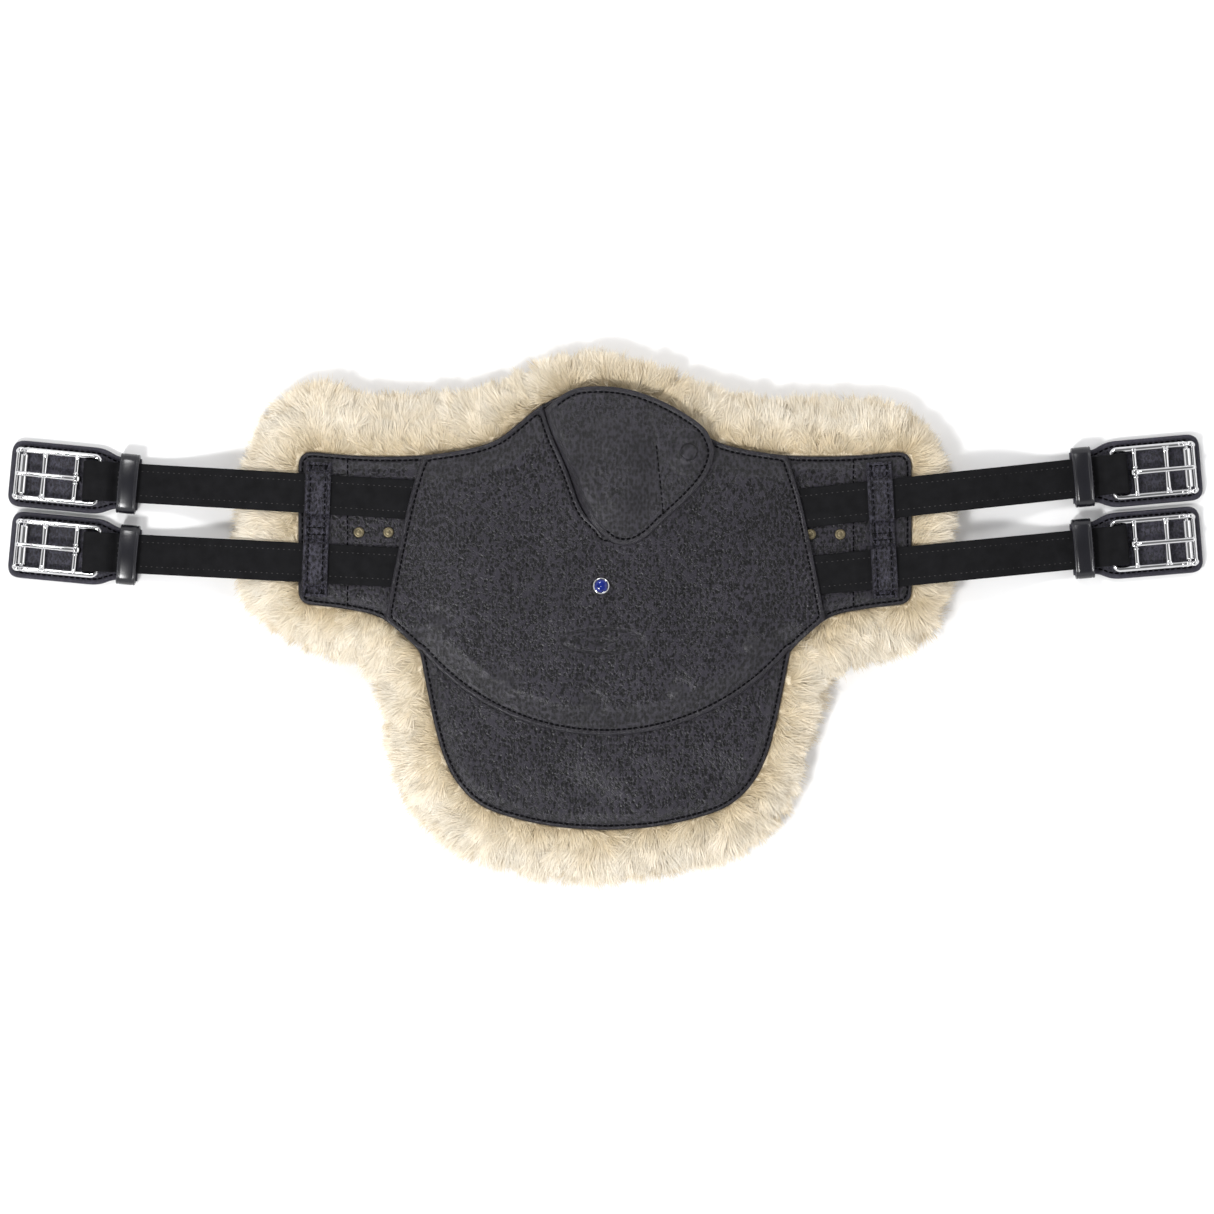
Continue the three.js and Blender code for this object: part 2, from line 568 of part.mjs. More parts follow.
// Press stud: cap and socket on the flap, post and backing on the shield.
function pressStud() {
  const shieldTop = shieldHeight(STUD.x, STUD.y) + SHIELD.t;
  const flapLow = flapHeight(STUD.x, STUD.y);
  const flapTop = flapLow + FLAP.t;
  const cap = [
    [0, flapLow - 1], [1.2, flapLow - 1], [1.2, flapTop + GAP], [6.2, flapTop + GAP], [6.2, flapTop + 0.8],
    [4.6, flapTop + 1.5], [2.2, flapTop + 1.8], [0, flapTop + 1.9],
  ];
  add("stud_cap", turned(cap, 18), lacquer).position.set(STUD.x, STUD.y, 0);
  const low = flapLow - 2.4;
  const socket = [
    [2.5, low], [4.8, low], [5.2, flapLow - GAP - 0.4], [5.2, flapLow - GAP], [1.6, flapLow - GAP],
    [1.6, flapLow - GAP - 0.5], [2.5, flapLow - GAP - 0.5], [2.5, low],
  ];
  add("stud_socket", turned(socket, 14), steel).position.set(STUD.x, STUD.y, 0);
  const foot = shieldTop + GAP;
  const nub = [[0, foot - 2], [1.2, foot - 2], [1.2, foot], [4.4, foot], [4.4, foot + 0.5], [1.9, foot + 0.7], [2, foot + 1.5], [1.3, foot + 2], [0, foot + 2]];
  add("stud_post", turned(nub, 14), steel).position.set(STUD.x, STUD.y, 0);
  const under = shieldHeight(STUD.x, STUD.y) - 2 * GAP;
  const washer = [[0.6, under - 0.8], [4.4, under - 0.8], [4.4, under], [0.6, under], [0.6, under - 0.8]];
  add("stud_backing", turned(washer, 14), steel).position.set(STUD.x, STUD.y, 0);
}

// Snap hook: leather tab, swivel eye, hook body and a gate that opens inwards.
function snapHook() {
  const { x, y, ring, wire: r } = EYE;
  const bow = [[-6.4, -ring], [-7.6, -3], [-6.2, 3], [0, 7], [6.2, 3], [7.6, -3], [6.4, -ring]];
  const eye = unite([
    wire(new THREE.CatmullRomCurve3(bow.map(([bx, by]) => new THREE.Vector3(bx, by, 0))), r, 16),
    new THREE.CylinderGeometry(r, r, 12.8, 8).rotateZ(Math.PI / 2).translate(0, -ring, 0),
    new THREE.SphereGeometry(r, 8, 6).translate(-6.4, -ring, 0),
    new THREE.SphereGeometry(r, 8, 6).translate(6.4, -ring, 0),
    new THREE.CylinderGeometry(2, 2, 3.4, 10).translate(0, 9, 0),
  ]);
  add("swivel_eye", eye, steel).position.set(x, y, HOOK_Z);

  const wireY = y - ring; // the eye's lower wire, which the tab goes round
  const inner = r + 0.3;
  const outer = inner + TAB.t;
  const s = new THREE.Shape();
  const bottom = HOOK_Z - outer;
  s.moveTo(TAB.end, bottom);
  s.lineTo(wireY, bottom);
  s.absarc(wireY, HOOK_Z, outer, -Math.PI / 2, Math.PI / 2, false);
  s.bezierCurveTo(wireY - 3, HOOK_Z + outer, wireY - 4, bottom + 2 * TAB.t, wireY - 6.5, bottom + 2 * TAB.t);
  s.lineTo(TAB.end, bottom + 2 * TAB.t);
  const hole = new THREE.Path();
  hole.moveTo(wireY - 4.6, bottom + TAB.t + 0.05);
  hole.bezierCurveTo(wireY - 3, HOOK_Z, wireY - 2, HOOK_Z + inner, wireY, HOOK_Z + inner);
  hole.absarc(wireY, HOOK_Z, inner, Math.PI / 2, -Math.PI / 2, true);
  hole.lineTo(wireY - 4.6, bottom + TAB.t);
  s.holes.push(hole);
  const tab = acrossStrap(s, TAB.width).rotateZ(Math.PI / 2).translate(x, 0, 0);
  add("hook_tab", cut(tab, [post(...tabRivet, RIVET.shank + 0.4, 10, 40)]), smoothLeather);

  const v = ([px, py]) => new THREE.Vector3(px, py, 0);
  const bend = new THREE.CatmullRomCurve3(
    [[0, 1.4], [-6.5, 5.5], [-9.6, 13], [-8.4, 21], [-2.6, 26.4], [4.4, 26], [9.2, 21.6], [10, 18.4]].map(v),
  );
  const lug = new THREE.LineCurve3(v([0, 1.4]), v([5.2, 2.4]));
  const body = unite([
    wire(bend, HOOK.wire, 22),
    wire(lug, HOOK.wire - 0.2, 1),
    new THREE.SphereGeometry(HOOK.wire, 10, 8).translate(0, 1.4, 0),
    new THREE.CylinderGeometry(2.6, 2.6, 1.8, 10).translate(0, 0.9, 0),
  ]);
  add("snap_hook", body, steel).position.set(HOOK.x, HOOK.y, HOOK_Z);
  const gate = unite([
    wire(new THREE.LineCurve3(v([HOOK.pivot[0], HOOK.pivot[1]]), v([9.9, 17.8])), HOOK.gateR, 1),
    new THREE.SphereGeometry(HOOK.gateR, 10, 8).translate(HOOK.pivot[0], HOOK.pivot[1], 0),
  ]);
  add("snap_gate", gate, steel).position.set(HOOK.x, HOOK.y, HOOK_Z);
}

lambskin();
corePlate();
basePanel();
guardShield();
["left", "right"].forEach(strapLoop);
ROWS.forEach(strapAssembly);
rivets();
emblem();
flap();
pressStud();
snapHook();

export default girth;
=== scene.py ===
"""Looks of the belly-guard girth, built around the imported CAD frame. Lengths are in mm unless said."""

import math

import bpy
import numpy as np
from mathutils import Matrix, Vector
from mathutils.geometry import delaunay_2d_cdt


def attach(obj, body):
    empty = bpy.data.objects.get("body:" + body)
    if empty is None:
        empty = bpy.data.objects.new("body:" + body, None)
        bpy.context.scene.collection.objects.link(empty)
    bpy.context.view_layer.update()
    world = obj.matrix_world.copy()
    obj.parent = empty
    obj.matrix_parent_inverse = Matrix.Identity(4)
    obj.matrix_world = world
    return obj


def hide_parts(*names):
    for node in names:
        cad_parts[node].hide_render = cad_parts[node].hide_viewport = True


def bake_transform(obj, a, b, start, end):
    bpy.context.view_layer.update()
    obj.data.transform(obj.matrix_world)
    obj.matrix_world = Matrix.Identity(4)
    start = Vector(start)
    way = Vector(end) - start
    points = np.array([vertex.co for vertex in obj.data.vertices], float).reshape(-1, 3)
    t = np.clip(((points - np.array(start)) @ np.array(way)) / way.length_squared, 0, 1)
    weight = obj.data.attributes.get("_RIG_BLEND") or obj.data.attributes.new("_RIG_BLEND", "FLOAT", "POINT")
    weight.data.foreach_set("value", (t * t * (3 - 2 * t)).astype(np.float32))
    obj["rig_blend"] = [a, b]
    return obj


MM = 0.001
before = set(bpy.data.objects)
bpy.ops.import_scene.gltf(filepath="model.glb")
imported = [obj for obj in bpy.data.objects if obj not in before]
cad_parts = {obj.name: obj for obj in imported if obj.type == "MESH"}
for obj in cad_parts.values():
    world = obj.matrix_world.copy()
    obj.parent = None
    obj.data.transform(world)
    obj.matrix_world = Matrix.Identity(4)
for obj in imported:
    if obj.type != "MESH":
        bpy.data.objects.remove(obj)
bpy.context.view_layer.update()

# -------- camera, lights, world

scene = bpy.context.scene
scene.view_settings.view_transform = "Standard"

CAMERA_AT = (0.00125, 0.00625, 6.0)
FRAMED = 0.7588  # width of the view at the middle of the girth's height
MIDDLE_LEVEL = 0.014

camera = bpy.data.objects.new("camera", bpy.data.cameras.new("camera"))
camera.location = CAMERA_AT
camera.data.angle = 2 * math.atan(FRAMED / 2 / (CAMERA_AT[2] - MIDDLE_LEVEL))
scene.collection.objects.link(camera)
scene.camera = camera


def area_light(name, at, size, power):
    """A square lamp at a place in metres, aimed at the middle of the girth."""
    data = bpy.data.lights.new(name, "AREA")
    data.size = size
    data.energy = power
    light = bpy.data.objects.new(name, data)
    light.location = at
    light.rotation_euler = (-Vector(at)).to_track_quat("-Z", "Y").to_euler()
    scene.collection.objects.link(light)


area_light("key", (-0.85, -0.9, 2.0), 0.4, 34)
area_light("left", (-0.45, 1.1, 2.0), 0.4, 13)
area_light("fill", (1.7, 0.1, 1.7), 1.3, 6)


def make_world():
    """A studio that is bright low down and dim overhead, so that flat leather and metal keep their depth."""
    world = bpy.data.worlds.new("studio")
    scene.world = world
    world.use_nodes = True
    tree = world.node_tree
    background = tree.nodes["Background"]
    coords = tree.nodes.new("ShaderNodeTexCoord")
    split = tree.nodes.new("ShaderNodeSeparateXYZ")
    ramp = tree.nodes.new("ShaderNodeValToRGB")
    bands = [(0.0, 1.16), (0.66, 1.16), (0.84, 0.26), (1.0, 0.22)]
    elements = ramp.color_ramp.elements
    while len(elements) < len(bands):
        elements.new(0.5)
    for element, (position, level) in zip(elements, bands):
        element.position = position
        element.color = (level, level, level * 1.01, 1)
    tree.links.new(coords.outputs["Generated"], split.inputs[0])
    tree.links.new(split.outputs["Z"], ramp.inputs[0])
    tree.links.new(ramp.outputs[0], background.inputs["Color"])
    background.inputs["Strength"].default_value = 1.0


make_world()

# -------- materials


def times(colour, share):
    return tuple(share * c for c in colour)


class Nodes:
    """A material's node tree, with short calls for what the finishes below share."""

    def __init__(self, name):
        self.material = bpy.data.materials.new(name)
        self.material.use_nodes = True
        self.tree = self.material.node_tree
        self.shader = self.tree.nodes["Principled BSDF"]
        self.coords = self.tree.nodes.new("ShaderNodeTexCoord").outputs["Object"]

    def set(self, **values):
        for name, value in values.items():
            self.shader.inputs[name.replace("_", " ")].default_value = value

    def link(self, a, b):
        self.tree.links.new(a, b)

    def node(self, kind, inputs, **settings):
        """A new node with its settings. An input is a value or, for a link, another node's output."""
        node = self.tree.nodes.new("ShaderNode" + kind)
        for name, value in settings.items():
            setattr(node, name, value)
        for name, value in inputs.items():
            socket = node.inputs[name]
            if isinstance(value, bpy.types.NodeSocket):
                self.link(value, socket)
            else:
                opaque = isinstance(value, tuple) and socket.type == "RGBA"
                socket.default_value = (*value, 1) if opaque else value
        return node

    def mapped(self, scale):
        return self.node("Mapping", {"Scale": scale, "Vector": self.coords}).outputs[0]

    def noise(self, scale, detail=2, vector=None, distortion=0.0):
        inputs = {"Scale": scale, "Detail": detail, "Distortion": distortion, "Vector": vector or self.coords}
        return self.node("TexNoise", inputs).outputs["Fac"]

    def voronoi(self, scale, vector, feature="DISTANCE_TO_EDGE"):
        inputs = {"Scale": scale, "Randomness": 0.75, "Vector": vector}
        return self.node("TexVoronoi", inputs, feature=feature).outputs["Distance"]

    def wave(self, scale, direction):
        inputs = {"Scale": scale, "Vector": self.coords}
        return self.node("TexWave", inputs, bands_direction=direction).outputs["Fac"]

    def attribute(self, name):
        return self.node("Attribute", {}, attribute_name=name).outputs["Fac"]

    def math(self, operation, a, b, clamp=False):
        return self.node("Math", {0: a, 1: b}, operation=operation, use_clamp=clamp).outputs[0]

    def ramp(self, factor, *stops):
        node = self.tree.nodes.new("ShaderNodeValToRGB")
        elements = node.color_ramp.elements
        while len(elements) < len(stops):
            elements.new(0.5)
        for element, (position, colour) in zip(elements, stops):
            element.position = position
            element.color = (*colour, 1)
        self.link(factor, node.inputs[0])
        return node.outputs[0]

    def shades(self, factor, colour, dark, light, start=0.3, stop=0.7):
        """A ramp between a darker and a lighter share of one colour."""
        return self.ramp(factor, (start, times(colour, dark)), (stop, times(colour, light)))

    def remap(self, factor, low, high):
        return self.node("MapRange", {"To Min": low, "To Max": high, "Value": factor}).outputs[0]

    def mix(self, factor, a, b, blend="MIX"):
        inputs = {0: factor, 6: a, 7: b}
        return self.node("Mix", inputs, data_type="RGBA", blend_type=blend).outputs[2]

    def bump(self, height, strength, distance):
        inputs = {"Strength": strength, "Distance": distance, "Height": height}
        self.link(self.node("Bump", inputs).outputs[0], self.shader.inputs["Normal"])

    def finish(self, tone, rough=None, **values):
        """Connects the colour and, if it varies, the roughness. The rest is set on the shader itself."""
        self.link(tone, self.shader.inputs["Base Color"])
        if rough:
            self.link(self.remap(*rough), self.shader.inputs["Roughness"])
        self.set(**values)
        return self.material


def grained_leather(name, dark, light, rough=(0.25, 0.36), grain=450, depth=0.00016):
    """Pebbled cowhide: small uneven cells with painted shade in the hollows between them and painted glints on
    their tops, fine pores, and a paler rim that is partly wear and partly painted highlight.
    """
    n = Nodes(name)
    wander = n.node("TexNoise", {"Scale": 160, "Detail": 0}).outputs["Color"]
    spread = {0: wander, 1: (0.0022, 0.0022, 0.0022), 2: n.mapped((1.15, 0.75, 1.0))}
    drift = n.node("VectorMath", spread, operation="MULTIPLY_ADD")
    pits = n.voronoi(grain, drift.outputs[0], "F1")
    pores = n.voronoi(grain * 1.9, drift.outputs[0])
    pebbles = n.math("MULTIPLY", n.math("MINIMUM", pits, 0.7), 1.43)
    relief = n.math("ADD", pebbles, n.math("MULTIPLY", n.math("MINIMUM", pores, 0.25), 0.9))
    folds = n.math("MULTIPLY", n.noise(130, 3, distortion=0.6), 0.9)
    n.bump(n.math("ADD", relief, folds), 1.0, depth)
    tone = n.ramp(n.noise(26, 3), (0.35, dark), (0.7, light))
    # The grain's relief is painted into the colour: painted shade in the hollows, painted glints on the pebble
    # tops.
    grain_shade_and_glint = n.ramp(relief, *((at, (level,) * 3) for at, level in ((0.45, 0.05), (0.8, 0.8), (1.15, 3.2))))
    # Towards the edges the grain's painted shade is evened out and the colour lightened: partly edge wear,
    # partly painted highlight.
    rim = n.attribute("rim")
    grain_shade_and_glint = n.mix(n.math("MULTIPLY", rim, 0.9, True), grain_shade_and_glint, (1.3, 1.3, 1.3))
    tone = n.mix(1.0, tone, grain_shade_and_glint, "MULTIPLY")
    tone = n.mix(n.math("MULTIPLY", rim, n.noise(300, 2)), tone, times(light, 2.3))
    return n.finish(tone, (n.noise(260, 3), *rough), Specular_IOR_Level=0.34)


def smooth_leather(name, colour, rough):
    """Bridle leather: closed, polished surface with faint pores and paler edges, partly worn and partly painted
    highlight.
    """
    n = Nodes(name)
    strokes = n.noise(90, 3, n.mapped((1, 0.25, 1)))
    n.bump(n.math("ADD", n.math("MULTIPLY", n.noise(1500, 2), 0.5), strokes), 0.35, 0.00008)
    tone = n.shades(n.noise(60, 2), colour, 0.8, 1.25, stop=0.75)
    # Paler towards the edges: partly wear, partly painted highlight.
    tone = n.mix(n.math("MULTIPLY", n.attribute("rim"), 0.35), tone, times(colour, 3.2))
    return n.finish(tone, (strokes, *rough))


def web_finish(name, colour):
    """Tight matt web: crossed ribs with a little fuzz."""
    n = Nodes(name)
    ribs = n.math("MULTIPLY", n.wave(330, "X"), n.wave(330, "Y"))
    n.bump(n.math("ADD", ribs, n.math("MULTIPLY", n.noise(900, 2), 0.8)), 0.4, 0.00012)
    tone = n.shades(n.noise(140, 3), colour, 0.75, 1.35, stop=0.75)
    return n.finish(tone, Roughness=0.85, Specular_IOR_Level=0.12)


def metal_finish(name, colour, rough, depth=0.00003, tarnish=None):
    """Polished or dulled metal with fine handling marks, and tarnish in spots if asked."""
    n = Nodes(name)
    marks = n.noise(420, 3, n.mapped((1, 0.3, 1)))
    n.bump(marks, 0.25, depth)
    tone = n.shades(n.noise(200, 2), colour, 0.9, 1.0, stop=0.8)
    if tarnish:
        tone = n.mix(n.remap(n.noise(700, 3), -0.3, 1.1), tone, tarnish)
    return n.finish(tone, (marks, *rough), Metallic=1.0)


def thread_finish(name, colour):
    """Waxed thread with its twist."""
    n = Nodes(name)
    n.bump(n.wave(1100, "DIAGONAL"), 0.5, 0.00008)
    return n.finish(n.shades(n.noise(500, 1), colour, 0.8, 1.2), Roughness=0.8, Specular_IOR_Level=0.06)


def wool_finish(name):
    """Lambskin wool: dark at the root as painted shade deep in the pile, cream along the fibre, pale at the tip,
    each lock its own tone.
    """
    n = Nodes(name)
    tone = n.ramp(
        n.attribute("along"),
        (0.0, (0.45, 0.355, 0.22)),
        (0.35, (0.68, 0.585, 0.42)),
        (0.7, (0.81, 0.735, 0.60)),
        (1.0, (0.93, 0.90, 0.83)),
    )
    tone = n.mix(1.0, tone, n.remap(n.attribute("lock"), 0.8, 1.14), "MULTIPLY")
    patch = n.ramp(n.noise(38, 3), (0.3, (0.88, 0.83, 0.74)), (0.7, (1.0, 1.0, 1.0)))
    tone = n.mix(0.8, tone, patch, "MULTIPLY")
    return n.finish(tone, Roughness=0.75, Sheen_Weight=0.25, Sheen_Roughness=0.5, Specular_IOR_Level=0.25)


def undercoat_finish(name):
    """The matted wool under the locks."""
    n = Nodes(name)
    curls = n.noise(260, 4, distortion=1.2)
    n.bump(curls, 1.0, 0.0012)
    return n.finish(n.ramp(curls, (0.3, (0.52, 0.42, 0.27)), (0.7, (0.78, 0.68, 0.51))), Roughness=0.95)


def plain_finish(name, colour, rough):
    """A matt surface with a fine speckle."""
    n = Nodes(name)
    speckle = n.noise(700, 2)
    n.bump(speckle, 0.25, 0.0001)
    return n.finish(n.shades(speckle, colour, 0.85, 1.1), Roughness=rough)


def gem_finish(name):
    """Deep blue glass."""
    n = Nodes(name)
    tone = n.ramp(n.noise(420, 2), (0.3, (0.003, 0.008, 0.085)), (0.75, (0.008, 0.021, 0.21)))
    return n.finish(tone, Roughness=0.05, Specular_IOR_Level=0.4)


LEATHER = grained_leather("grained_leather", (0.0064, 0.0058, 0.0079), (0.0084, 0.0076, 0.0102))
SAFE_LEATHER = grained_leather(
    "safe_leather", (0.010, 0.0095, 0.0150), (0.017, 0.0160, 0.0240), (0.3, 0.42), 800, 0.0001
)
# The wing loops are the base's leather; their paler tone is painted highlight.
LOOP_LEATHER = grained_leather(
    "loop_leather", (0.011, 0.0102, 0.0150), (0.0165, 0.0155, 0.0220), (0.18, 0.3), 620, 0.0003
)
BRIDLE = smooth_leather("bridle_leather", (0.0075, 0.0075, 0.0105), (0.16, 0.3))
WEB = web_finish("black_web", (0.0058, 0.0058, 0.0066))
STEEL = metal_finish("stainless", (0.66, 0.66, 0.67), (0.05, 0.12))
BRASS = metal_finish("old_brass", (0.22, 0.185, 0.115), (0.35, 0.5), 0.00008, (0.07, 0.06, 0.04))
THREAD = thread_finish("black_thread", (0.002, 0.002, 0.0025))
WEB_THREAD = thread_finish("grey_thread", (0.045, 0.043, 0.044))
WOOL = wool_finish("wool")
UNDERCOAT = undercoat_finish("undercoat")
SUEDE = plain_finish("suede", (0.62, 0.53, 0.40), 0.9)
PLASTIC = plain_finish("black_plastic", (0.02, 0.02, 0.022), 0.5)
GEM = gem_finish("blue_glass")

# -------- mesh helpers


def v2(points):
    return np.array(points, float)


def unit(vectors):
    return vectors / np.linalg.norm(vectors, axis=-1)[..., None]


def spline(points, per=8, closed=False):
    """Catmull-Rom curve through the points."""
    p = v2(points)
    n = len(p)
    spans = n if closed else n - 1
    out = []
    for i in range(spans):
        index = [(i + k) % n if closed else min(max(i + k, 0), n - 1) for k in (-1, 0, 1, 2)]
        a, b, c, d = (p[j] for j in index)
        for t in np.arange(per) / per:
            bend = (2 * a - 5 * b + 4 * c - d) * t**2 + (3 * b - a - 3 * c + d) * t**3
            out.append(0.5 * (2 * b + (c - a) * t + bend))
    if not closed:
        out.append(p[-1])
    return np.array(out)


def quadratic(a, b, c, steps=6):
    t = np.linspace(0, 1, steps)[:, None]
    a, b, c = v2(a), v2(b), v2(c)
    return (1 - t) ** 2 * a + 2 * t * (1 - t) * b + t**2 * c


def resample(points, step, closed=True):
    p = np.vstack([points, points[:1]]) if closed else v2(points)
    seg = np.linalg.norm(np.diff(p, axis=0), axis=1)
    at = np.concatenate([[0], np.cumsum(seg)])
    count = max(2, int(round(at[-1] / step)))
    s = np.linspace(0, at[-1], count + 1)
    if closed:
        s = s[:-1]
    return np.stack([np.interp(s, at, p[:, k]) for k in range(p.shape[1])], 1)


def counter_clockwise(p):
    x, y = p[:, 0], p[:, 1]
    area = np.sum(x * np.roll(y, -1) - np.roll(x, -1) * y)
    return p if area > 0 else p[::-1]


def distance(points, line, closed=False):
    """Distance from each point to a polyline."""
    a = line
    b = np.roll(line, -1, axis=0)
    if not closed:
        a, b = a[:-1], b[:-1]
    best = np.full(len(points), np.inf)
    for start in range(0, len(points), 4000):
        q = points[start : start + 4000, None, :]
        d = (b - a)[None]
        t = np.clip(np.sum((q - a[None]) * d, 2) / np.maximum(np.sum(d * d, 2), 1e-9), 0, 1)
        best[start : start + 4000] = np.linalg.norm(q - a[None] - t[..., None] * d, axis=2).min(1)
    return best


def inside(points, polygon):
    x, y = points[:, 0], points[:, 1]
    hit = np.zeros(len(points), bool)
    for (x0, y0), (x1, y1) in zip(polygon, np.roll(polygon, -1, axis=0)):
        crosses = (y0 > y) != (y1 > y)
        if crosses.any():
            hit ^= crosses & (x < (x1 - x0) * (y - y0) / (y1 - y0 + 1e-12) + x0)
    return hit


def inward(loop):
    t = unit(np.roll(loop, -1, axis=0) - np.roll(loop, 1, axis=0))
    return np.stack([-t[:, 1], t[:, 0]], 1)


def inset(loop, d):
    """A counter-clockwise loop moved inwards, without the points that a corner pushes too near the edge."""
    moved = loop + inward(loop) * d
    return moved[distance(moved, loop, True) > d - 0.12]


class Geo:
    """Vertices, faces and point attributes that collect into one mesh."""

    def __init__(self):
        self.verts, self.faces, self.count = [], [], 0
        self.attributes = {}

    def add(self, verts, faces, **attributes):
        verts = np.asarray(verts, float)
        self.verts.append(verts)
        for f in faces:
            self.faces.append(np.asarray(f, int) + self.count)
        for name, values in attributes.items():
            self.attributes.setdefault(name, []).append((self.count, np.broadcast_to(values, len(verts))))
        self.count += len(verts)
        return self

    def build(self, name, material, body, slot, replaces=(), place=None):
        co = np.vstack(self.verts)
        if place is not None:
            co = place(co)
        mesh = bpy.data.meshes.new(name)
        sizes = np.concatenate([np.full(len(f), f.shape[1]) for f in self.faces])
        loops = np.concatenate([f.ravel() for f in self.faces])
        mesh.vertices.add(len(co))
        mesh.vertices.foreach_set("co", (co * MM).astype(np.float32).ravel())
        mesh.loops.add(len(loops))
        mesh.loops.foreach_set("vertex_index", loops.astype(np.int32))
        mesh.polygons.add(len(sizes))
        mesh.polygons.foreach_set("loop_start", np.concatenate([[0], np.cumsum(sizes)[:-1]]).astype(np.int32))
        mesh.polygons.foreach_set("use_smooth", np.full(len(sizes), True))
        for key, parts in self.attributes.items():
            values = np.zeros(len(co), np.float32)
            for start, part in parts:
                values[start : start + len(part)] = part
            mesh.attributes.new(key, "FLOAT", "POINT").data.foreach_set("value", values)
        mesh.update(calc_edges=True)
        mesh.validate()
        mesh.materials.append(material)
        obj = bpy.data.objects.new(name, mesh)
        scene.collection.objects.link(obj)
        if body:
            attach(obj, body)
        if replaces:
            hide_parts(*replaces)
        return obj


def grid_faces(rows, columns, closed_rows=False):
    """Quads between rings of vertices, each ring closed."""
    r = np.arange(rows if closed_rows else rows - 1)
    i, j = (m.ravel() for m in np.meshgrid(r, np.arange(columns), indexing="ij"))
    i1, j1 = (i + 1) % rows, (j + 1) % columns
    return np.stack([i * columns + j, i * columns + j1, i1 * columns + j1, i1 * columns + j], 1)


def tube(path, radii, sides=16):
    """A round rod along a 3-D path, closed at both ends by the last radii."""
    p = np.asarray(path, float)
    radii = np.broadcast_to(radii, len(p))
    t = unit(np.gradient(p, axis=0))
    up = np.array([0, 0, 1.0]) if abs(t[0, 2]) < 0.9 else np.array([0, 1.0, 0])
    verts = []
    angle = 2 * np.pi * np.arange(sides) / sides
    for point, tangent, r in zip(p, t, radii):
        side = unit(np.cross(up, tangent))
        up = np.cross(tangent, side)
        verts.append(point + r * (np.cos(angle)[:, None] * side + np.sin(angle)[:, None] * up))
    verts = np.vstack(verts)
    n = len(p)
    verts = np.vstack([verts, p[:1], p[-1:]])
    ring = np.arange(sides)
    after = (ring + 1) % sides
    base = (n - 1) * sides
    first = np.stack([np.full(sides, n * sides), after, ring], 1)
    last = np.stack([np.full(sides, n * sides + 1), base + ring, base + after], 1)
    return verts, [grid_faces(n, sides), first, last]


def rounded_rod(a, b, r):
    """A straight rod with rounded ends between two points."""
    a, b = v2(a), v2(b)
    d = unit(b - a)
    steps = [(0, 0.35), (0.12, 0.72), (0.4, 0.95), (1, 1)]
    path = [a + d * s * r for s, _ in steps] + [b - d * s * r for s, _ in steps[::-1]]
    return tube(path, [r * k for _, k in steps + steps[::-1]])


def lathe(profile, segments=40, axis="z"):
    """A body of revolution from (r, h) pairs, about z or about y."""
    profile = v2(profile)
    a = 2 * np.pi * np.arange(segments) / segments
    r, h = profile[:, 0][:, None], profile[:, 1][:, None]
    x, y, z = r * np.cos(a), r * np.sin(a), h + 0 * a
    if axis == "y":
        x, y, z = x, z, -y
    verts = np.stack([x, y, z], 2).reshape(-1, 3)
    return verts, [grid_faces(len(profile), segments)[:, ::-1]]


def turned(profile, segments, at, axis="z"):
    verts, faces = lathe(profile, segments, axis)
    return Geo().add(verts + at, faces)


def sweep(path, section, closed=False):
    """A section of (across, out) points swept along a path in a plane. Gives across, along-plane x and z."""
    p = np.asarray(path, float)
    t = unit((np.roll(p, -1, 0) - np.roll(p, 1, 0)) if closed else np.gradient(p, axis=0))
    normal = np.stack([-t[:, 1], t[:, 0]], 1)
    s = np.asarray(section, float)
    across = np.broadcast_to(s[:, 0], (len(p), len(s)))
    at = p[:, None, :] + normal[:, None, :] * s[None, :, 1, None]
    verts = np.stack([across, at[..., 0], at[..., 1]], 2).reshape(-1, 3)
    faces = [grid_faces(len(p), len(s), closed_rows=closed)]
    if not closed:
        ring = np.arange(len(s))
        faces += [ring[None, ::-1], ((len(p) - 1) * len(s) + ring)[None]]
    return verts, faces


def strip_section(width, thick, round_to, crease=None, deep=0.32):
    """A strip's section with rounded edges and, if asked, a creased line near each edge of its outer face."""
    w, t, r = width / 2, thick / 2, round_to
    arc = [(w - r + r * math.sin(a), t - r + r * math.cos(a)) for a in np.linspace(0, np.pi / 2, 5)]
    top = [(0, t), (w * 0.5, t)]
    if crease:
        c = w - crease
        lip = t - deep / 4
        top = [(0, t), (c - 0.8, t), (c - 0.35, lip), (c, t - deep), (c + 0.35, lip), (c + 0.7, t)]
    half = top + arc + [(x, -y) for x, y in arc[::-1]] + [(0, -t)]
    return half + [(-x, y) for x, y in half[1:-1]][::-1]


def rim_values(section, width):
    """Paler towards a strip's edges: partly wear, partly painted highlight."""
    x = np.abs(v2(section)[:, 0])
    return np.clip((x - (width / 2 - 0.9)) / 0.9, 0, 1)


def hexagons(x0, y0, x1, y1, step):
    rows = []
    for k, y in enumerate(np.arange(y0, y1, step * 0.866)):
        x = np.arange(x0 + (k % 2) * step / 2, x1, step)
        rows.append(np.column_stack([x, np.full(len(x), y)]))
    return np.vstack(rows)


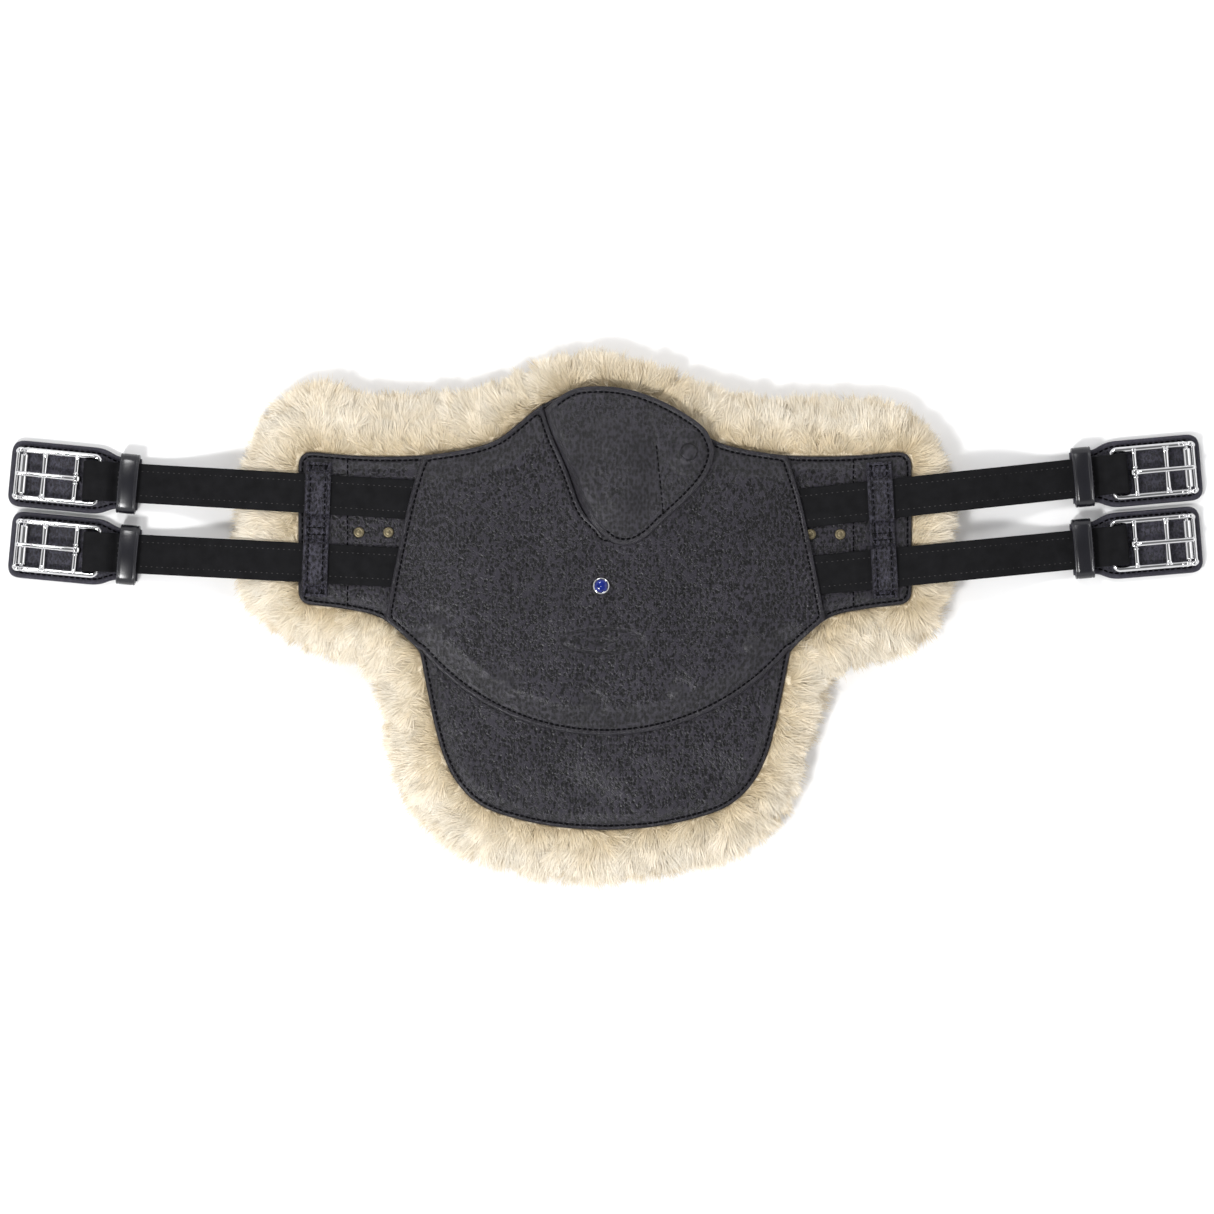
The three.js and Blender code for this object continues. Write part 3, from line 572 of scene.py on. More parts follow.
def leather_sheet(outline, top, thick, spacing, rim, groove=None, dense=(), edge_step=1.7):
    """A sheet cut to a plan outline: its top follows top(x, y), with a rolled edge and a stitching groove."""
    loop = resample(counter_clockwise(v2(outline)), edge_step)
    insets = [0.2, 0.5, 0.9, 1.5]
    if groove:
        insets += [groove[0] + d for d in (-0.75, -0.35, 0, 0.35, 0.75)]
    insets.append(insets[-1] + 1.2)
    fill = hexagons(*loop.min(0), *loop.max(0), spacing)
    for x0, y0, x1, y1, step in dense:
        fill = fill[~((fill[:, 0] > x0) & (fill[:, 0] < x1) & (fill[:, 1] > y0) & (fill[:, 1] < y1))]
        fill = np.vstack([fill, hexagons(x0, y0, x1, y1, step)])
    fill = fill[inside(fill, loop)]
    finest = min([spacing] + [d[4] for d in dense])
    fill = fill[distance(fill, loop, True) > insets[-1] + 0.35 * finest]
    points = np.vstack([loop] + [inset(loop, d) for d in insets] + [fill])
    m = len(loop)
    border = [(i, (i + 1) % m) for i in range(m)]
    result = delaunay_2d_cdt([Vector(p) for p in points], border, [], 1, 1e-4)
    co = np.array([(v.x, v.y) for v in result[0]])
    faces = np.array([f for f in result[2] if len(f) == 3])
    d = distance(co, loop, True)
    level = top(co[:, 0], co[:, 1])
    upper = level - np.where(d < rim, rim - np.sqrt(np.maximum(rim**2 - (rim - d) ** 2, 0)), 0)
    # The paler rim along the rolled edge and out to the stitching groove: partly edge wear, partly painted
    # highlight.
    wear_and_sheen = np.exp(-(d**2))
    if groove:
        upper = upper - groove[1] * np.exp(-(((d - groove[0]) / 0.5) ** 2))
        wear_and_sheen = np.maximum(wear_and_sheen, 0.5 * (1 - smoothstep((d - groove[0] - 0.3) / 1.3)))
    n = len(co)
    edges = dict.fromkeys(map(tuple, np.vstack([faces[:, [i, (i + 1) % 3]] for i in range(3)]).tolist()))
    a, b = np.array([(a, b) for a, b in edges if (b, a) not in edges]).T
    walls = np.stack([a, a + n, b + n, b], 1)
    verts = np.vstack([np.column_stack([co, upper]), np.column_stack([co, level - thick])])
    return verts, [faces, faces[:, ::-1] + n, walls], np.concatenate([wear_and_sheen, wear_and_sheen])


def cut_leather(name, material, nodes, *sheet, body="girth", place=None, highlight_spots=(), **more):
    """A leather sheet as a piece. The given spots get a painted highlight, paler like its rim."""
    verts, faces, wear_and_sheen = leather_sheet(*sheet, **more)
    for spot in highlight_spots:
        wear_and_sheen = np.maximum(wear_and_sheen, 0.6 * np.exp(-((np.linalg.norm(verts[:, :2] - spot, axis=1) / 3.4) ** 2)))
    return Geo().add(verts, faces, rim=wear_and_sheen).build(name, material, body, "leather", nodes, place)


def seam_row(outline, step, depth):
    """The line of a seam, a little way in from a sheet's edge."""
    return inset(resample(counter_clockwise(v2(outline)), step), depth)


STITCH_RINGS = [(-0.5, 0.4), (-0.4, 0.85), (-0.15, 1.0), (0.15, 1.0), (0.4, 0.85), (0.5, 0.4)]


def stitches(geo, paths, height, pitch=3.5, length=2.5, r=0.52, sink=-0.05, sides=6):
    """Rows of single stitches along paths of (x, y), lying in the surface height(x, y)."""
    angle = 2 * np.pi * np.arange(sides) / sides
    each = len(STITCH_RINGS) * sides
    ring = np.arange(sides)[None]
    pattern = [grid_faces(len(STITCH_RINGS), sides), ring[:, ::-1], each - sides + ring]
    for path in paths:
        p = resample(path, pitch, closed=False)
        middle, d = (p[1:] + p[:-1]) / 2, unit(p[1:] - p[:-1]) * length / 2
        ends = [np.column_stack([at, height(at[:, 0], at[:, 1]) - sink]) for at in (middle - d, middle + d)]
        reach = ends[1] - ends[0]
        t = unit(reach)
        side = unit(np.cross(np.array([0, 0, 1.0]), t))
        up = np.cross(t, side)
        round_it = np.cos(angle)[:, None] * side[:, None] + 0.8 * np.sin(angle)[:, None] * up[:, None]
        centre = (ends[0] + ends[1])[:, None] / 2
        rings = [centre + reach[:, None] * along + r * share * round_it for along, share in STITCH_RINGS]
        offset = (np.arange(len(t)) * each)[:, None, None]
        geo.add(np.stack(rings, 1).reshape(-1, 3), [(f + offset).reshape(-1, f.shape[1]) for f in pattern])


def runs(loop, keep):
    """The unbroken stretches of a closed loop where keep is true."""
    keep = np.asarray(keep)
    if keep.all():
        return [np.vstack([loop, loop[:1]])]
    start = int(np.argmin(keep))
    order = np.roll(np.arange(len(loop)), -start)
    found, current = [], []
    for i in order:
        if keep[i]:
            current.append(loop[i])
        elif current:
            found.append(np.array(current))
            current = []
    if current:
        found.append(np.array(current))
    return [f for f in found if len(f) > 2]


# -------- the design's numbers, in mm

BASE_TOP = 25.3
ON_BASE = 25.6
SHIELD_T, SIDE_RISE, MIDDLE_RISE, RAMP = 2.2, 2.6, 4.0, 17.0
SHIELD_TOP = ON_BASE + MIDDLE_RISE + SHIELD_T
FLAP_T, FLAP_RAMP, BULGE = 1.6, 5.0, 6.5
FLAP_LOW = SHIELD_TOP + 0.3
STUD = (52.3, 103.0)
STUD_LIFT = 3.4
STRAP_W, STRAP_T, STRAP_BAR, STRAP_INNER, STRAP_LOW = 24.6, 2.2, 120.6, -146.0, 7.6
BAR_Z = STRAP_LOW + 2.05
DROP = (26.0, 84.0)
ROWS = [
    ("left", "upper", -196.8, 77.8, 3.5, 2.0),
    ("left", "lower", -196.8, 34.4, 3.0, 2.4),
    ("right", "upper", 197.9, 76.0, 6.3, -1.2),
    ("right", "lower", 197.9, 32.6, 5.6, -0.8),
]
EMBLEM = (-2.4, 19.4)
GUARD_RIVETS = [
    (131 * math.sin(a), 76.2 - 131 * math.cos(a))
    for a in (math.radians(-4 + 24.3 * (i - 2)) for i in range(5))
]

front_edge = spline(
    [
        (0, 144), (15, 142), (31, 136.6), (44, 129), (55.5, 119.5), (67, 111), (83, 105.5), (113, 101),
        (148, 100.4), (183, 103),
    ]
)
wing_rear = spline([(183, 7.5), (160, 4.6), (140, -0.5), (123, -14), (115.5, -22)])
apron_edge = spline(
    [
        (115.5, -22), (111.5, -43), (106.5, -67), (100, -89), (90, -106.5), (75, -119), (53, -126.5),
        (27, -131.4), (0, -133),
    ]
)


def mirrored(half):
    left = half[1:-1][::-1] * (-1, 1)
    loop = np.vstack([half, left])
    return loop[np.linalg.norm(loop - np.roll(loop, 1, 0), axis=1) > 0.05]


BASE_OUTLINE = mirrored(
    np.vstack(
        [
            front_edge,
            quadratic((183, 103), (191.4, 103), (191.4, 94)),
            quadratic((191.4, 17), (191.4, 8), (183, 7.5)),
            wing_rear[1:],
            apron_edge[1:],
        ]
    )
)
shield_side = spline([(113.6, 100.6), (121.8, 74), (129.8, 37.5), (137, 0), (137, -1.6)])
arc_at = np.linspace(-0.699, -math.pi / 2, 40)
shield_arc = np.stack([150 * np.cos(arc_at), 76.2 + 150 * np.sin(arc_at)], 1)
shield_half = np.vstack(
    [
        front_edge[front_edge[:, 0] < 112],
        shield_side,
        wing_rear[(wing_rear[:, 0] < 136) & (wing_rear[:, 0] > 117)],
        shield_arc,
    ]
)
SEWN = spline([(-37.7, 129.4), (-32.9, 113.8), (-23.3, 91.9), (-15.2, 70), (-7, 56.6)])
FREE = spline(
    [
        (-7, 56.6), (3.8, 47), (14.8, 45), (25.4, 49.7), (36.4, 60), (51.4, 73.8), (62.3, 86.3), (67.9, 100),
        (66.4, 110), (60.9, 118.8), (47.3, 128.4), (31, 136.6), (14.7, 141.9), (-1.6, 143.8), (-17.9, 142.6),
        (-28.9, 136.9), (-37.7, 129.4),
    ]
)
FLAP_OUTLINE = np.vstack([SEWN[:-1], FREE[:-1]])
PILE_OUTLINE = counter_clockwise(
    spline(
        [
            (-3, 165), (-40, 159), (-66, 146), (-103, 139), (-150, 139), (-180, 146), (-208, 131), (-223, 104),
            (-229, 70), (-231, 36), (-221, 5), (-184, -20), (-152, -32), (-139, -58), (-134, -92), (-120, -121),
            (-93, -146), (-45, -162), (0, -165), (50, -158), (88, -145), (115, -119), (124, -92), (134, -62),
            (148, -34), (190, -21), (213, 5), (217, 54), (214, 98), (187, 129), (150, 136), (109, 135.6),
            (68, 142), (36, 155),
        ],
        8,
        True,
    )
)


def smoothstep(t):
    t = np.clip(t, 0, 1)
    return t * t * (3 - 2 * t)


def xy(x, y):
    return np.column_stack([np.ravel(x), np.ravel(y)])


def soft_noise(x, y, scale, seed=0):
    """A smooth wandering value of about -1 to 1, from a few fixed waves."""
    rng = np.random.default_rng(seed)
    value = np.zeros_like(np.asarray(x, float))
    for _ in range(7):
        angle, phase, size = rng.uniform(0, 2 * np.pi), rng.uniform(0, 2 * np.pi), rng.uniform(0.6, 1.7)
        value = value + np.sin((x * math.cos(angle) + y * math.sin(angle)) / (scale * size) * 2 * np.pi + phase)
    return value / 3.2


def base_top(x, y):
    d = distance(xy(x, y), BASE_OUTLINE, True)
    return BASE_TOP - 0.9 * (1 - smoothstep(d / 9)) - 0.22 * (1 + soft_noise(x, y, 60, 3)) * smoothstep(d / 8)


mirrored_lines = [line * (s, 1) for line in (front_edge, shield_arc) for s in (1, -1)]


def shield_low(x, y):
    points = xy(x, y)
    seam = np.min([distance(points, line) for line in mirrored_lines], axis=0)
    inwards = smoothstep((120 - np.abs(x)) / 35)
    rise = SIDE_RISE + (MIDDLE_RISE - SIDE_RISE) * inwards
    level = smoothstep(1.8 - np.hypot(x - STUD[0], y - STUD[1]) / 8)
    slope = rise * smoothstep((seam - 3) / (RAMP - 3))
    return ON_BASE + slope * (1 - level) + MIDDLE_RISE * level


def emboss(x, y):
    """A plain oval ring with a lozenge in it, pressed into the guard."""
    cx, cy = -2.2, -15.0
    oval = np.hypot((x - cx) / 24.0, (y - cy) / 7.6)
    ring = np.exp(-(((oval - 1) * 8.5) / 0.7) ** 2)
    lozenge = np.abs(x - cx) / 9.0 + np.abs(y - cy) / 3.4
    mark = 1 / (1 + np.exp((lozenge - 1) * 14))
    return 0.95 * np.maximum(ring, mark)


def shield_top(x, y):
    z = shield_low(x, y) + SHIELD_T
    for rx, ry in GUARD_RIVETS:
        r2 = (x - rx) ** 2 + (y - ry) ** 2
        z = z + 1.2 * np.exp(-r2 / 3.1**2) - 0.35 * np.exp(-((np.sqrt(r2) - 7) ** 2) / 3.0**2)
    z = z + 0.25 * soft_noise(x, y, 55, 5) * smoothstep(distance(xy(x, y), BASE_OUTLINE, True) / 25)
    return z - emboss(x, y)


SEAM_HELD = SEWN[SEWN[:, 1] > 62]


def flap_low(x, y):
    """Underside of the flap: it rises out of its seam, lies over the hook in a soft block, and over the stud."""
    seam = distance(xy(x, y), SEAM_HELD)
    out = np.hypot((x - 4) / 26, (y - 86) / 34)
    block = BULGE * (1 - smoothstep((out - 0.42) / 0.78))
    stud = STUD_LIFT * smoothstep(1.6 - np.hypot(x - STUD[0], y - STUD[1]) / 9.5)
    return ON_BASE + (FLAP_LOW + block + stud - ON_BASE) * smoothstep(0.55 + 0.45 * seam / FLAP_RAMP)


def flap_top(x, y):
    crease = distance(xy(x, y), v2([(24.4, 139), (27.5, 127), (31.3, 111)]))
    row = distance(xy(x, y), v2([(31.3, 111), (34, 88), (36.3, 63)]))
    wrinkles = 0.4 * soft_noise(x * 1.6, y * 0.7, 9, 11) * np.exp(-((x + 18 - (90 - y) * 0.42) / 13) ** 2)
    grooves = 0.55 * np.exp(-((crease / 0.55) ** 2)) + 0.3 * np.exp(-((row / 0.6) ** 2))
    return flap_low(x, y) + FLAP_T + wrinkles - grooves


# -------- leather: base, guard, flap

BASE_SEAM, SHIELD_SEAM, FLAP_SEAM, GROOVE = 2.6, 3.3, 3.6, 0.45
threads = Geo()

cut_leather("base_leather", LEATHER, ["base_panel"], BASE_OUTLINE, base_top, 2.3, 4.0, 1.1, (BASE_SEAM, GROOVE))
base_row = seam_row(BASE_OUTLINE, 1.7, BASE_SEAM)
under_shield = inside(base_row, mirrored(shield_half))
stitches(threads, runs(base_row, ~under_shield), base_top)
stitches(threads, [np.linspace((x, 99), (x, 6), 60) for x in (-160.6, 155.0)], base_top)

opening_right = v2(
    [(-9.9, 61.4), (-3.4, 55.5), (-1, 51), (6, 50.5), (20, 56), (28, 66), (31, 100), (30.4, 136.4)]
)
right_part = shield_half[(shield_half[:, 0] > 30.6) | (shield_half[:, 1] < 100)]
left_part = (shield_half * (-1, 1))[::-1]
left_part = left_part[(left_part[:, 0] < -38.4) | (left_part[:, 1] < 100)]
opening_left = np.vstack([v2([(-38.1, 132.2)]), SEAM_HELD - (0.4, 0)])
SHIELD_OUTLINE = np.vstack([right_part, left_part[1:], opening_left, opening_right])
cut_leather(
    "guard_leather", LEATHER, ["guard_shield"],
    SHIELD_OUTLINE, shield_top, SHIELD_T, 3.0, 1.1, (SHIELD_SEAM, GROOVE),
    dense=[(-29, -25, 25, -5, 0.75)] + [(x - 8, y - 8, x + 8, y + 8, 1.2) for x, y in GUARD_RIVETS],
    # Painted highlights on the rivet bumps.
    highlight_spots=GUARD_RIVETS,
)
shield_row = seam_row(SHIELD_OUTLINE, 1.7, SHIELD_SEAM)
stitches(threads, runs(shield_row, ~inside(shield_row, FLAP_OUTLINE)), shield_top)

flap_leather = cut_leather(
    "flap_leather", LEATHER, ["hook_flap", "flap_sewn_edge"],
    FLAP_OUTLINE, flap_top, FLAP_T, 1.5, 0.8, (FLAP_SEAM, GROOVE), edge_step=1.2, body=None,
)
flap_row = seam_row(FLAP_OUTLINE, 1.2, FLAP_SEAM)
flap_threads = Geo()
stitches(flap_threads, runs(flap_row, distance(flap_row, SEWN) > 7.5), flap_top)
stitches(flap_threads, [v2([(31.9, 107.5), (34, 88), (36.3, 64.5)])], flap_top)
flap_threads.build("flap_stitching", THREAD, "flap", "leather")

fold_from, fold_to = v2((-37.7, 129.4)), v2((-7.0, 56.6))
fold_along = unit(fold_to - fold_from)
fold_across = v2((-fold_along[1], fold_along[0]))
fold_mid = (fold_from + fold_to) / 2 + fold_across * 3
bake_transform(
    flap_leather,
    "girth",
    "flap",
    start=(*((fold_mid - fold_across * 2.6) * MM), 0.032),
    end=(*((fold_mid + fold_across * 2.6) * MM), 0.032),
)

# -------- wing loops

LOOP_PLACES = {"left": (-179.9, 55.2, -2, -42.5, 41.5), "right": (173.1, 51.7, 3, -40, 45)}
LOOP_W, LOOP_T = 16.0, 1.9
LOOP_LOW = ON_BASE + LOOP_T / 2
LOOP_RISE = STRAP_T + 0.75


def turned_place(x, y, degrees):
    c, s = math.cos(math.radians(degrees)), math.sin(math.radians(degrees))

    def place(co):
        return np.column_stack([x + c * co[:, 0] - s * co[:, 1], y + s * co[:, 0] + c * co[:, 1], co[:, 2]])

    return place


def loop_height(v):
    """Centre of the loop's strip: down on the leather at its ends, up over the strap between them."""
    over = np.minimum(smoothstep((np.abs(v) - 6.4) / 3.4), smoothstep((37.0 - np.abs(v)) / 3.4))
    return LOOP_LOW + LOOP_RISE * over + 0.35 * over * np.cos((np.abs(v) - 21.6) / 15 * math.pi / 2)


def loop_top(x, y):
    return loop_height(y) + LOOP_T / 2


for side, (lx, ly, turn, low_end, high_end) in LOOP_PLACES.items():
    v = np.linspace(low_end, high_end, 130)
    section = strip_section(LOOP_W, LOOP_T, 0.85, 2.4, 0.5)
    verts, faces = sweep(np.column_stack([v, loop_height(v)]), section)
    place = turned_place(lx, ly, turn)
    loop = Geo().add(verts, faces, rim=np.tile(rim_values(section, LOOP_W), len(v)))
    loop.build(f"wing_loop_{side}", LOOP_LEATHER, "girth", "leather", [f"strap_loop_{side}"], place)
    rows = [np.linspace((x, low_end + 2), (x, high_end - 2), 90) for x in (-4.6, 4.6)]
    rows += [np.linspace((-6.3, y), (6.3, y), 9) for y in (-3.6, 0.6, low_end + 2.2, high_end - 2.2)]
    seam = Geo()
    stitches(seam, rows, loop_top, sink=0.08)
    threads.add(place(np.vstack(seam.verts)), seam.faces)

threads.build("leather_stitching", THREAD, "girth", "leather")

# -------- straps, safes, keepers, buckles


def strap_under(x):
    share = smoothstep((x - DROP[0]) / (DROP[1] - DROP[0]))
    return ON_BASE + (STRAP_LOW - ON_BASE) * share


def strap_path():
    """Centre line of the strap: its run to the buckle, then its way round the bar and back."""
    half = STRAP_T / 2
    r = BAR_Z - STRAP_LOW + half
    fold = STRAP_BAR + 5.2
    over, up = STRAP_LOW + half, BAR_Z + r
    x = [np.linspace(STRAP_INNER, DROP[0], 24), np.linspace(*DROP, 30)[1:], [92, 100, 106]]
    x = np.concatenate(x)
    top = np.column_stack([x, strap_under(x) + half])
    rise = spline([(106, over), (109.5, over + 0.15), (113.3, BAR_Z + 1.5), (117.2, up), (fold, up)], 7)
    a = np.linspace(np.pi / 2, -np.pi / 2, 13)[1:]
    bend = np.column_stack([fold + r * np.cos(a), BAR_Z + r * np.sin(a)])
    tail = np.linspace((fold, BAR_Z - r), (STRAP_BAR - 34, BAR_Z - r), 14)[1:]
    return np.vstack([top, rise[1:]]), np.vstack([bend, tail])


strap_run, strap_return = strap_path()


def web_top(x, y):
    return np.interp(x, *strap_run.T) + STRAP_T / 2


def end_place(spec):
    """The strap's own frame and the buckle's frame, which is turned a little about the buckle's rear bar."""
    side, _, x, y, heading, turn = spec
    a = 180 - heading if side == "left" else heading
    b = a - turn if side == "left" else a + turn
    line = turned_place(x, y, a)
    ox = x + STRAP_BAR * math.cos(math.radians(a))
    oy = y + STRAP_BAR * math.sin(math.radians(a))
    return line, turned_place(ox, oy, b)


def safe_outline():
    half, neck, front, back, r = 20.8, 16.2, 55.5, -26.0, 8.0
    t = np.linspace(0, 1, 14)[:, None]
    a, b, c, d = v2([(-15, -neck), (-7, -neck), (-7, -half), (4, -half)])
    flare = (1 - t) ** 3 * a + 3 * (1 - t) ** 2 * t * b + 3 * (1 - t) * t**2 * c + t**3 * d
    corner = quadratic((front - r, -half), (front, -half), (front, -half + r), 10)
    lower = np.vstack([v2([(back, -neck)]), flare, corner])
    return np.vstack([lower, lower[::-1] * (1, -1)])


def safe_top(x, y):
    return 5.1 + 0 * x


def ring_path(half, z0, z1, r, arch):
    """Closed path of a keeper, counter-clockwise in (across, up), its top a little arched."""
    corner = np.linspace(0, np.pi / 2, 8)
    w, s, c = half - r, r * np.sin(corner), r * np.cos(corner)
    pieces = [
        [w + s, z0 + r - c],
        [w + c, z1 - r + s],
        [np.linspace(w, -w, 14)[1:-1], np.full(12, z1)],
        [-w - s, z1 - r + c],
        [-w - c, z0 + r - s],
    ]
    path = np.hstack(pieces).T
    path[:, 1] += arch * np.cos(path[:, 0] / half * math.pi / 2) * (path[:, 1] > (z0 + z1) / 2)
    return path


TONGUE_BAR, MIDDLE_BAR, ROLLER_BAR = 14.0, 34.0, 47.0
KNUCKLE = [(-2.6, 0.05, 0), (-1.6, 0.1, 0.35), (-0.5, -0.1, 0.35), (0.35, -0.75, 0.1), (0.4, -1.7, -0.1)]
KNUCKLE_R = [1.0] + [1.75] * 5 + [1.7, 1.65, 1.6, 1.55, 1.45, 1.4, 1.35, 1.3, 1.2, 1.2, 1.1]
RAIL_R, CORNER_R = 1.82, 1.68


def buckle_frame_geo():
    """The wire frame in the buckle's own frame: x forward, y across, the rear bar at x = 0."""
    y, front, corner = 14.8, 51.0, 3.4
    geo = Geo()
    bend = np.linspace(0, np.pi / 2, 9)
    right = np.column_stack([corner - corner * np.sin(bend), y - corner + corner * np.cos(bend), np.zeros(9)])
    rail = np.linspace((front - 1.0, y, 0), (corner, y, 0), 12)[:-1]
    one = np.vstack([rail, right])
    path = np.vstack([one, one[::-1] * (1, -1, 1)])
    radii = np.concatenate([np.full(11, RAIL_R), np.linspace(RAIL_R, CORNER_R, 9)])
    radii[0] = 1.1
    path[:, 2] += 0.25 * np.sin(np.clip(path[:, 0] / front, 0, 1) * math.pi)
    geo.add(*tube(path, np.concatenate([radii, radii[::-1]]), 18))
    for s in (-1, 1):
        knuckle = [(front + dx, s * (y + dy), z) for dx, dy, z in KNUCKLE]
        geo.add(*tube(spline(knuckle, 4), KNUCKLE_R, 14))

    def cross(x, r, flare, waist=1.0):
        across = np.concatenate([[-y], -y + np.array([0.6, 1.4, 2.4, 3.6, 5.2]), [-2.6, 0]])
        across = np.concatenate([across, -across[:-1][::-1]])
        off = y - np.abs(across)
        radius = r + flare * np.exp(-((off / 1.9) ** 2))
        radius = radius * np.where(np.abs(across) < 3, waist, 1)
        return tube(np.column_stack([np.full(len(across), x), across, 0 * across]), radius)

    geo.add(*cross(TONGUE_BAR, 1.62, 0.9))
    geo.add(*cross(MIDDLE_BAR, 1.9, 1.15, 0.86))
    geo.add(*rounded_rod((ROLLER_BAR, -y + 0.2, 0), (ROLLER_BAR, y - 0.2, 0), 1.2))
    geo.add(*rounded_rod((front, -y + 0.9, 0), (front, y - 0.9, 0), 1.12))
    for s in (-1, 1):
        for x, r in ((42.6, 1.95), (45.4, 2.0)):
            verts, faces = lathe([(1.4, -0.75), (r, -0.55), (r + 0.12, 0), (r, 0.55), (1.4, 0.75)], 18, "y")
            geo.add(verts[:, [1, 0, 2]] + (x, s * y, 0), [f[:, ::-1] for f in faces])
        bead = [(1.3, -0.75), (1.95, -0.7), (2.35, -0.35), (2.35, 0.35), (1.95, 0.7), (1.3, 0.75)]
        verts, faces = lathe(bead, 20, "y")
        geo.add(verts + (TONGUE_BAR, s * 3.05, 0), faces)
    return geo


def roller_geo():
    profile = [(1.45, -12.2), (2.3, -12.2), (2.52, -12.0), (2.6, -11.6)]
    profile += [(2.6, h) for h in np.linspace(-9, 9, 5)]
    profile += [(2.6, 11.6), (2.52, 12.0), (2.3, 12.2), (1.45, 12.2)]
    profile.append(profile[0])
    return turned(profile, 28, (ROLLER_BAR, 0, 0), "y")


def tongue_geo():
    half = [(3.5, 1.0), (3.42, 1.45), (3.1, 1.75), (1.88, 1.75)]
    profile = [(r, -h) for r, h in half[::-1]] + half + [(1.88, -1.75)]
    geo = turned(profile, 28, (TONGUE_BAR, 0, 0), "y")
    path = spline([(14.6, 0, 2.3), (18, 0, 3.3), (26, 0, 3.75), (38, 0, 3.95), (47, 0, 4.35), (51.9, 0, 4.3)], 6)
    along = np.linspace(0, 1, len(path))
    radii = 1.85 - 0.42 * along
    radii[:3] = (1.3, 1.7, 1.88)
    radii[-3:] = (1.18, 0.95, 0.45)
    return geo.add(*tube(path, radii, 16))


KEEPER_W, KEEPER_T = 12.0, 2.0
SAFE_SEAM = 3.4
SAFE_OUTLINE = safe_outline()
METALWORK = [
    ("frame_wire", buckle_frame_geo, "buckle", "buckle_frame"),
    ("roller_tube", roller_geo, "roller", "roller"),
    ("tongue_wire", tongue_geo, "tongue", "tongue"),
]
strap_section = strip_section(STRAP_W, STRAP_T, 0.8)
keeper_section = strip_section(KEEPER_W, KEEPER_T, 0.85, 1.6)
strap_rows = [np.linspace((-140, y), (108, y), 260) for y in (-7.6, 7.6)]
strap_rows.append(np.linspace((108.2, -7.6), (108.2, 7.6), 20))

for spec in ROWS:
    name = f"{spec[0]}_{spec[1]}"
    on_line, on_end = end_place(spec)

    verts, faces = sweep(np.vstack([strap_run, strap_return]), strap_section)
    strap = Geo().add(verts[:, [1, 0, 2]], [f[:, ::-1] for f in faces])
    strap.build(f"web_strap_{name}", WEB, "girth", "webbing", [f"strap_{name}"], on_line)
    dots = Geo()
    stitches(dots, strap_rows, web_top, 3.3, 1.15, 0.3, 0.1)
    dots.build(f"strap_stitching_{name}", WEB_THREAD, "girth", "webbing", (), on_line)

    cut_leather(
        f"safe_leather_{name}", SAFE_LEATHER, [f"buckle_safe_{name}"],
        SAFE_OUTLINE, safe_top, 2.6, 3.2, 1.0, (SAFE_SEAM, 0.3), edge_step=1.6, place=on_end,
    )
    seam = Geo()
    safe_row = seam_row(SAFE_OUTLINE, 1.6, SAFE_SEAM)
    stitches(seam, runs(safe_row, safe_row[:, 0] > -22), safe_top)
    seam.build(f"safe_stitching_{name}", THREAD, "girth", "leather", (), on_end)

    path = ring_path(17.75, 1.2, 15.2, 3.6, 2.0)
    verts, faces = sweep(path[::-1], keeper_section, closed=True)
    wear_and_sheen = np.tile(rim_values(keeper_section, KEEPER_W), len(path))
    keeper = Geo().add(verts - (19.0, 0, 0), faces, rim=wear_and_sheen)
    node = f"keeper_{name}"
    keeper.build(f"runner_{node}", BRIDLE, node, "smooth_leather", [node], on_end)

    def on_bar(co, on_end=on_end):
        return on_end(co + (0, 0, BAR_Z))

    for piece, shape, body, node in METALWORK:
        shape().build(f"{piece}_{name}", STEEL, f"{body}_{name}", "steel", [f"{node}_{name}"], on_bar)

# -------- rivets, emblem, press stud

WING_RIVETS = {
    "left_inner": (-135.1, 52.8),
    "left_outer": (-153.5, 52.8),
    "right_inner": (128.3, 51.6),
    "right_outer": (146.7, 51.6),
}
RIVET_CAP = [
    (0, 1.12), (1.1, 1.1), (1.5, 0.95), (1.75, 0.9), (2.0, 1.02), (2.6, 1.0), (3.1, 0.8), (3.35, 0.45),
    (3.4, 0.1), (3.4, 0), (0, 0),
]
for name, (x, y) in WING_RIVETS.items():
    cap = turned(RIVET_CAP, 32, (x, y, ON_BASE))
    cap.build(f"rivet_cap_{name}", BRASS, "girth", "old_brass", [f"wing_rivet_{name}"])

GEM_AT = (*EMBLEM, SHIELD_TOP + 0.3)
bezel = [
    (4.0, -0.2), (5.2, -0.25), (5.35, 0.25), (5.2, 0.9), (4.9, 1.3), (4.55, 1.45), (4.2, 1.25), (4.05, 0.8),
    (4.0, -0.2),
]
turned(bezel, 48, GEM_AT).build("gem_bezel", STEEL, "girth", "steel", ["emblem_bezel"])
dome = [(4.15, -0.1), (4.1, 0.9)]
dome += [(4.1 * math.cos(a), 0.9 + 1.7 * math.sin(a)) for a in np.linspace(0.1, math.pi / 2 - 0.02, 10)]
verts, faces = lathe(dome, 48)
crown = np.arange(48)[None] + (len(dome) - 1) * 48
gem = Geo().add(verts + GEM_AT, faces + [crown])
gem.build("gem_stone", GEM, "girth", "blue_glass", ["emblem_cabochon"])

cap_z = float(flap_low(*v2(STUD)[:, None])[0]) + FLAP_T
cap = [(0, 1.5), (2.6, 1.45), (4.3, 1.25), (5.1, 0.8), (5.5, 0.25), (5.7, -0.3), (0, -0.3)]
turned(cap, 48, (*STUD, cap_z)).build("stud_cover", LEATHER, "flap", "lacquer", ["stud_cap"])

# -------- lambskin


def parting(x, y):
    """1 in the wandering clefts where the wool parts, 0 elsewhere; clearest on the right-hand side."""
    cleft = np.exp(-((soft_noise(x + 0.5 * y, 0.6 * y, 21, 43) / 0.16) ** 2))
    return cleft * (0.45 + 0.55 * smoothstep((x + 40) / 120))


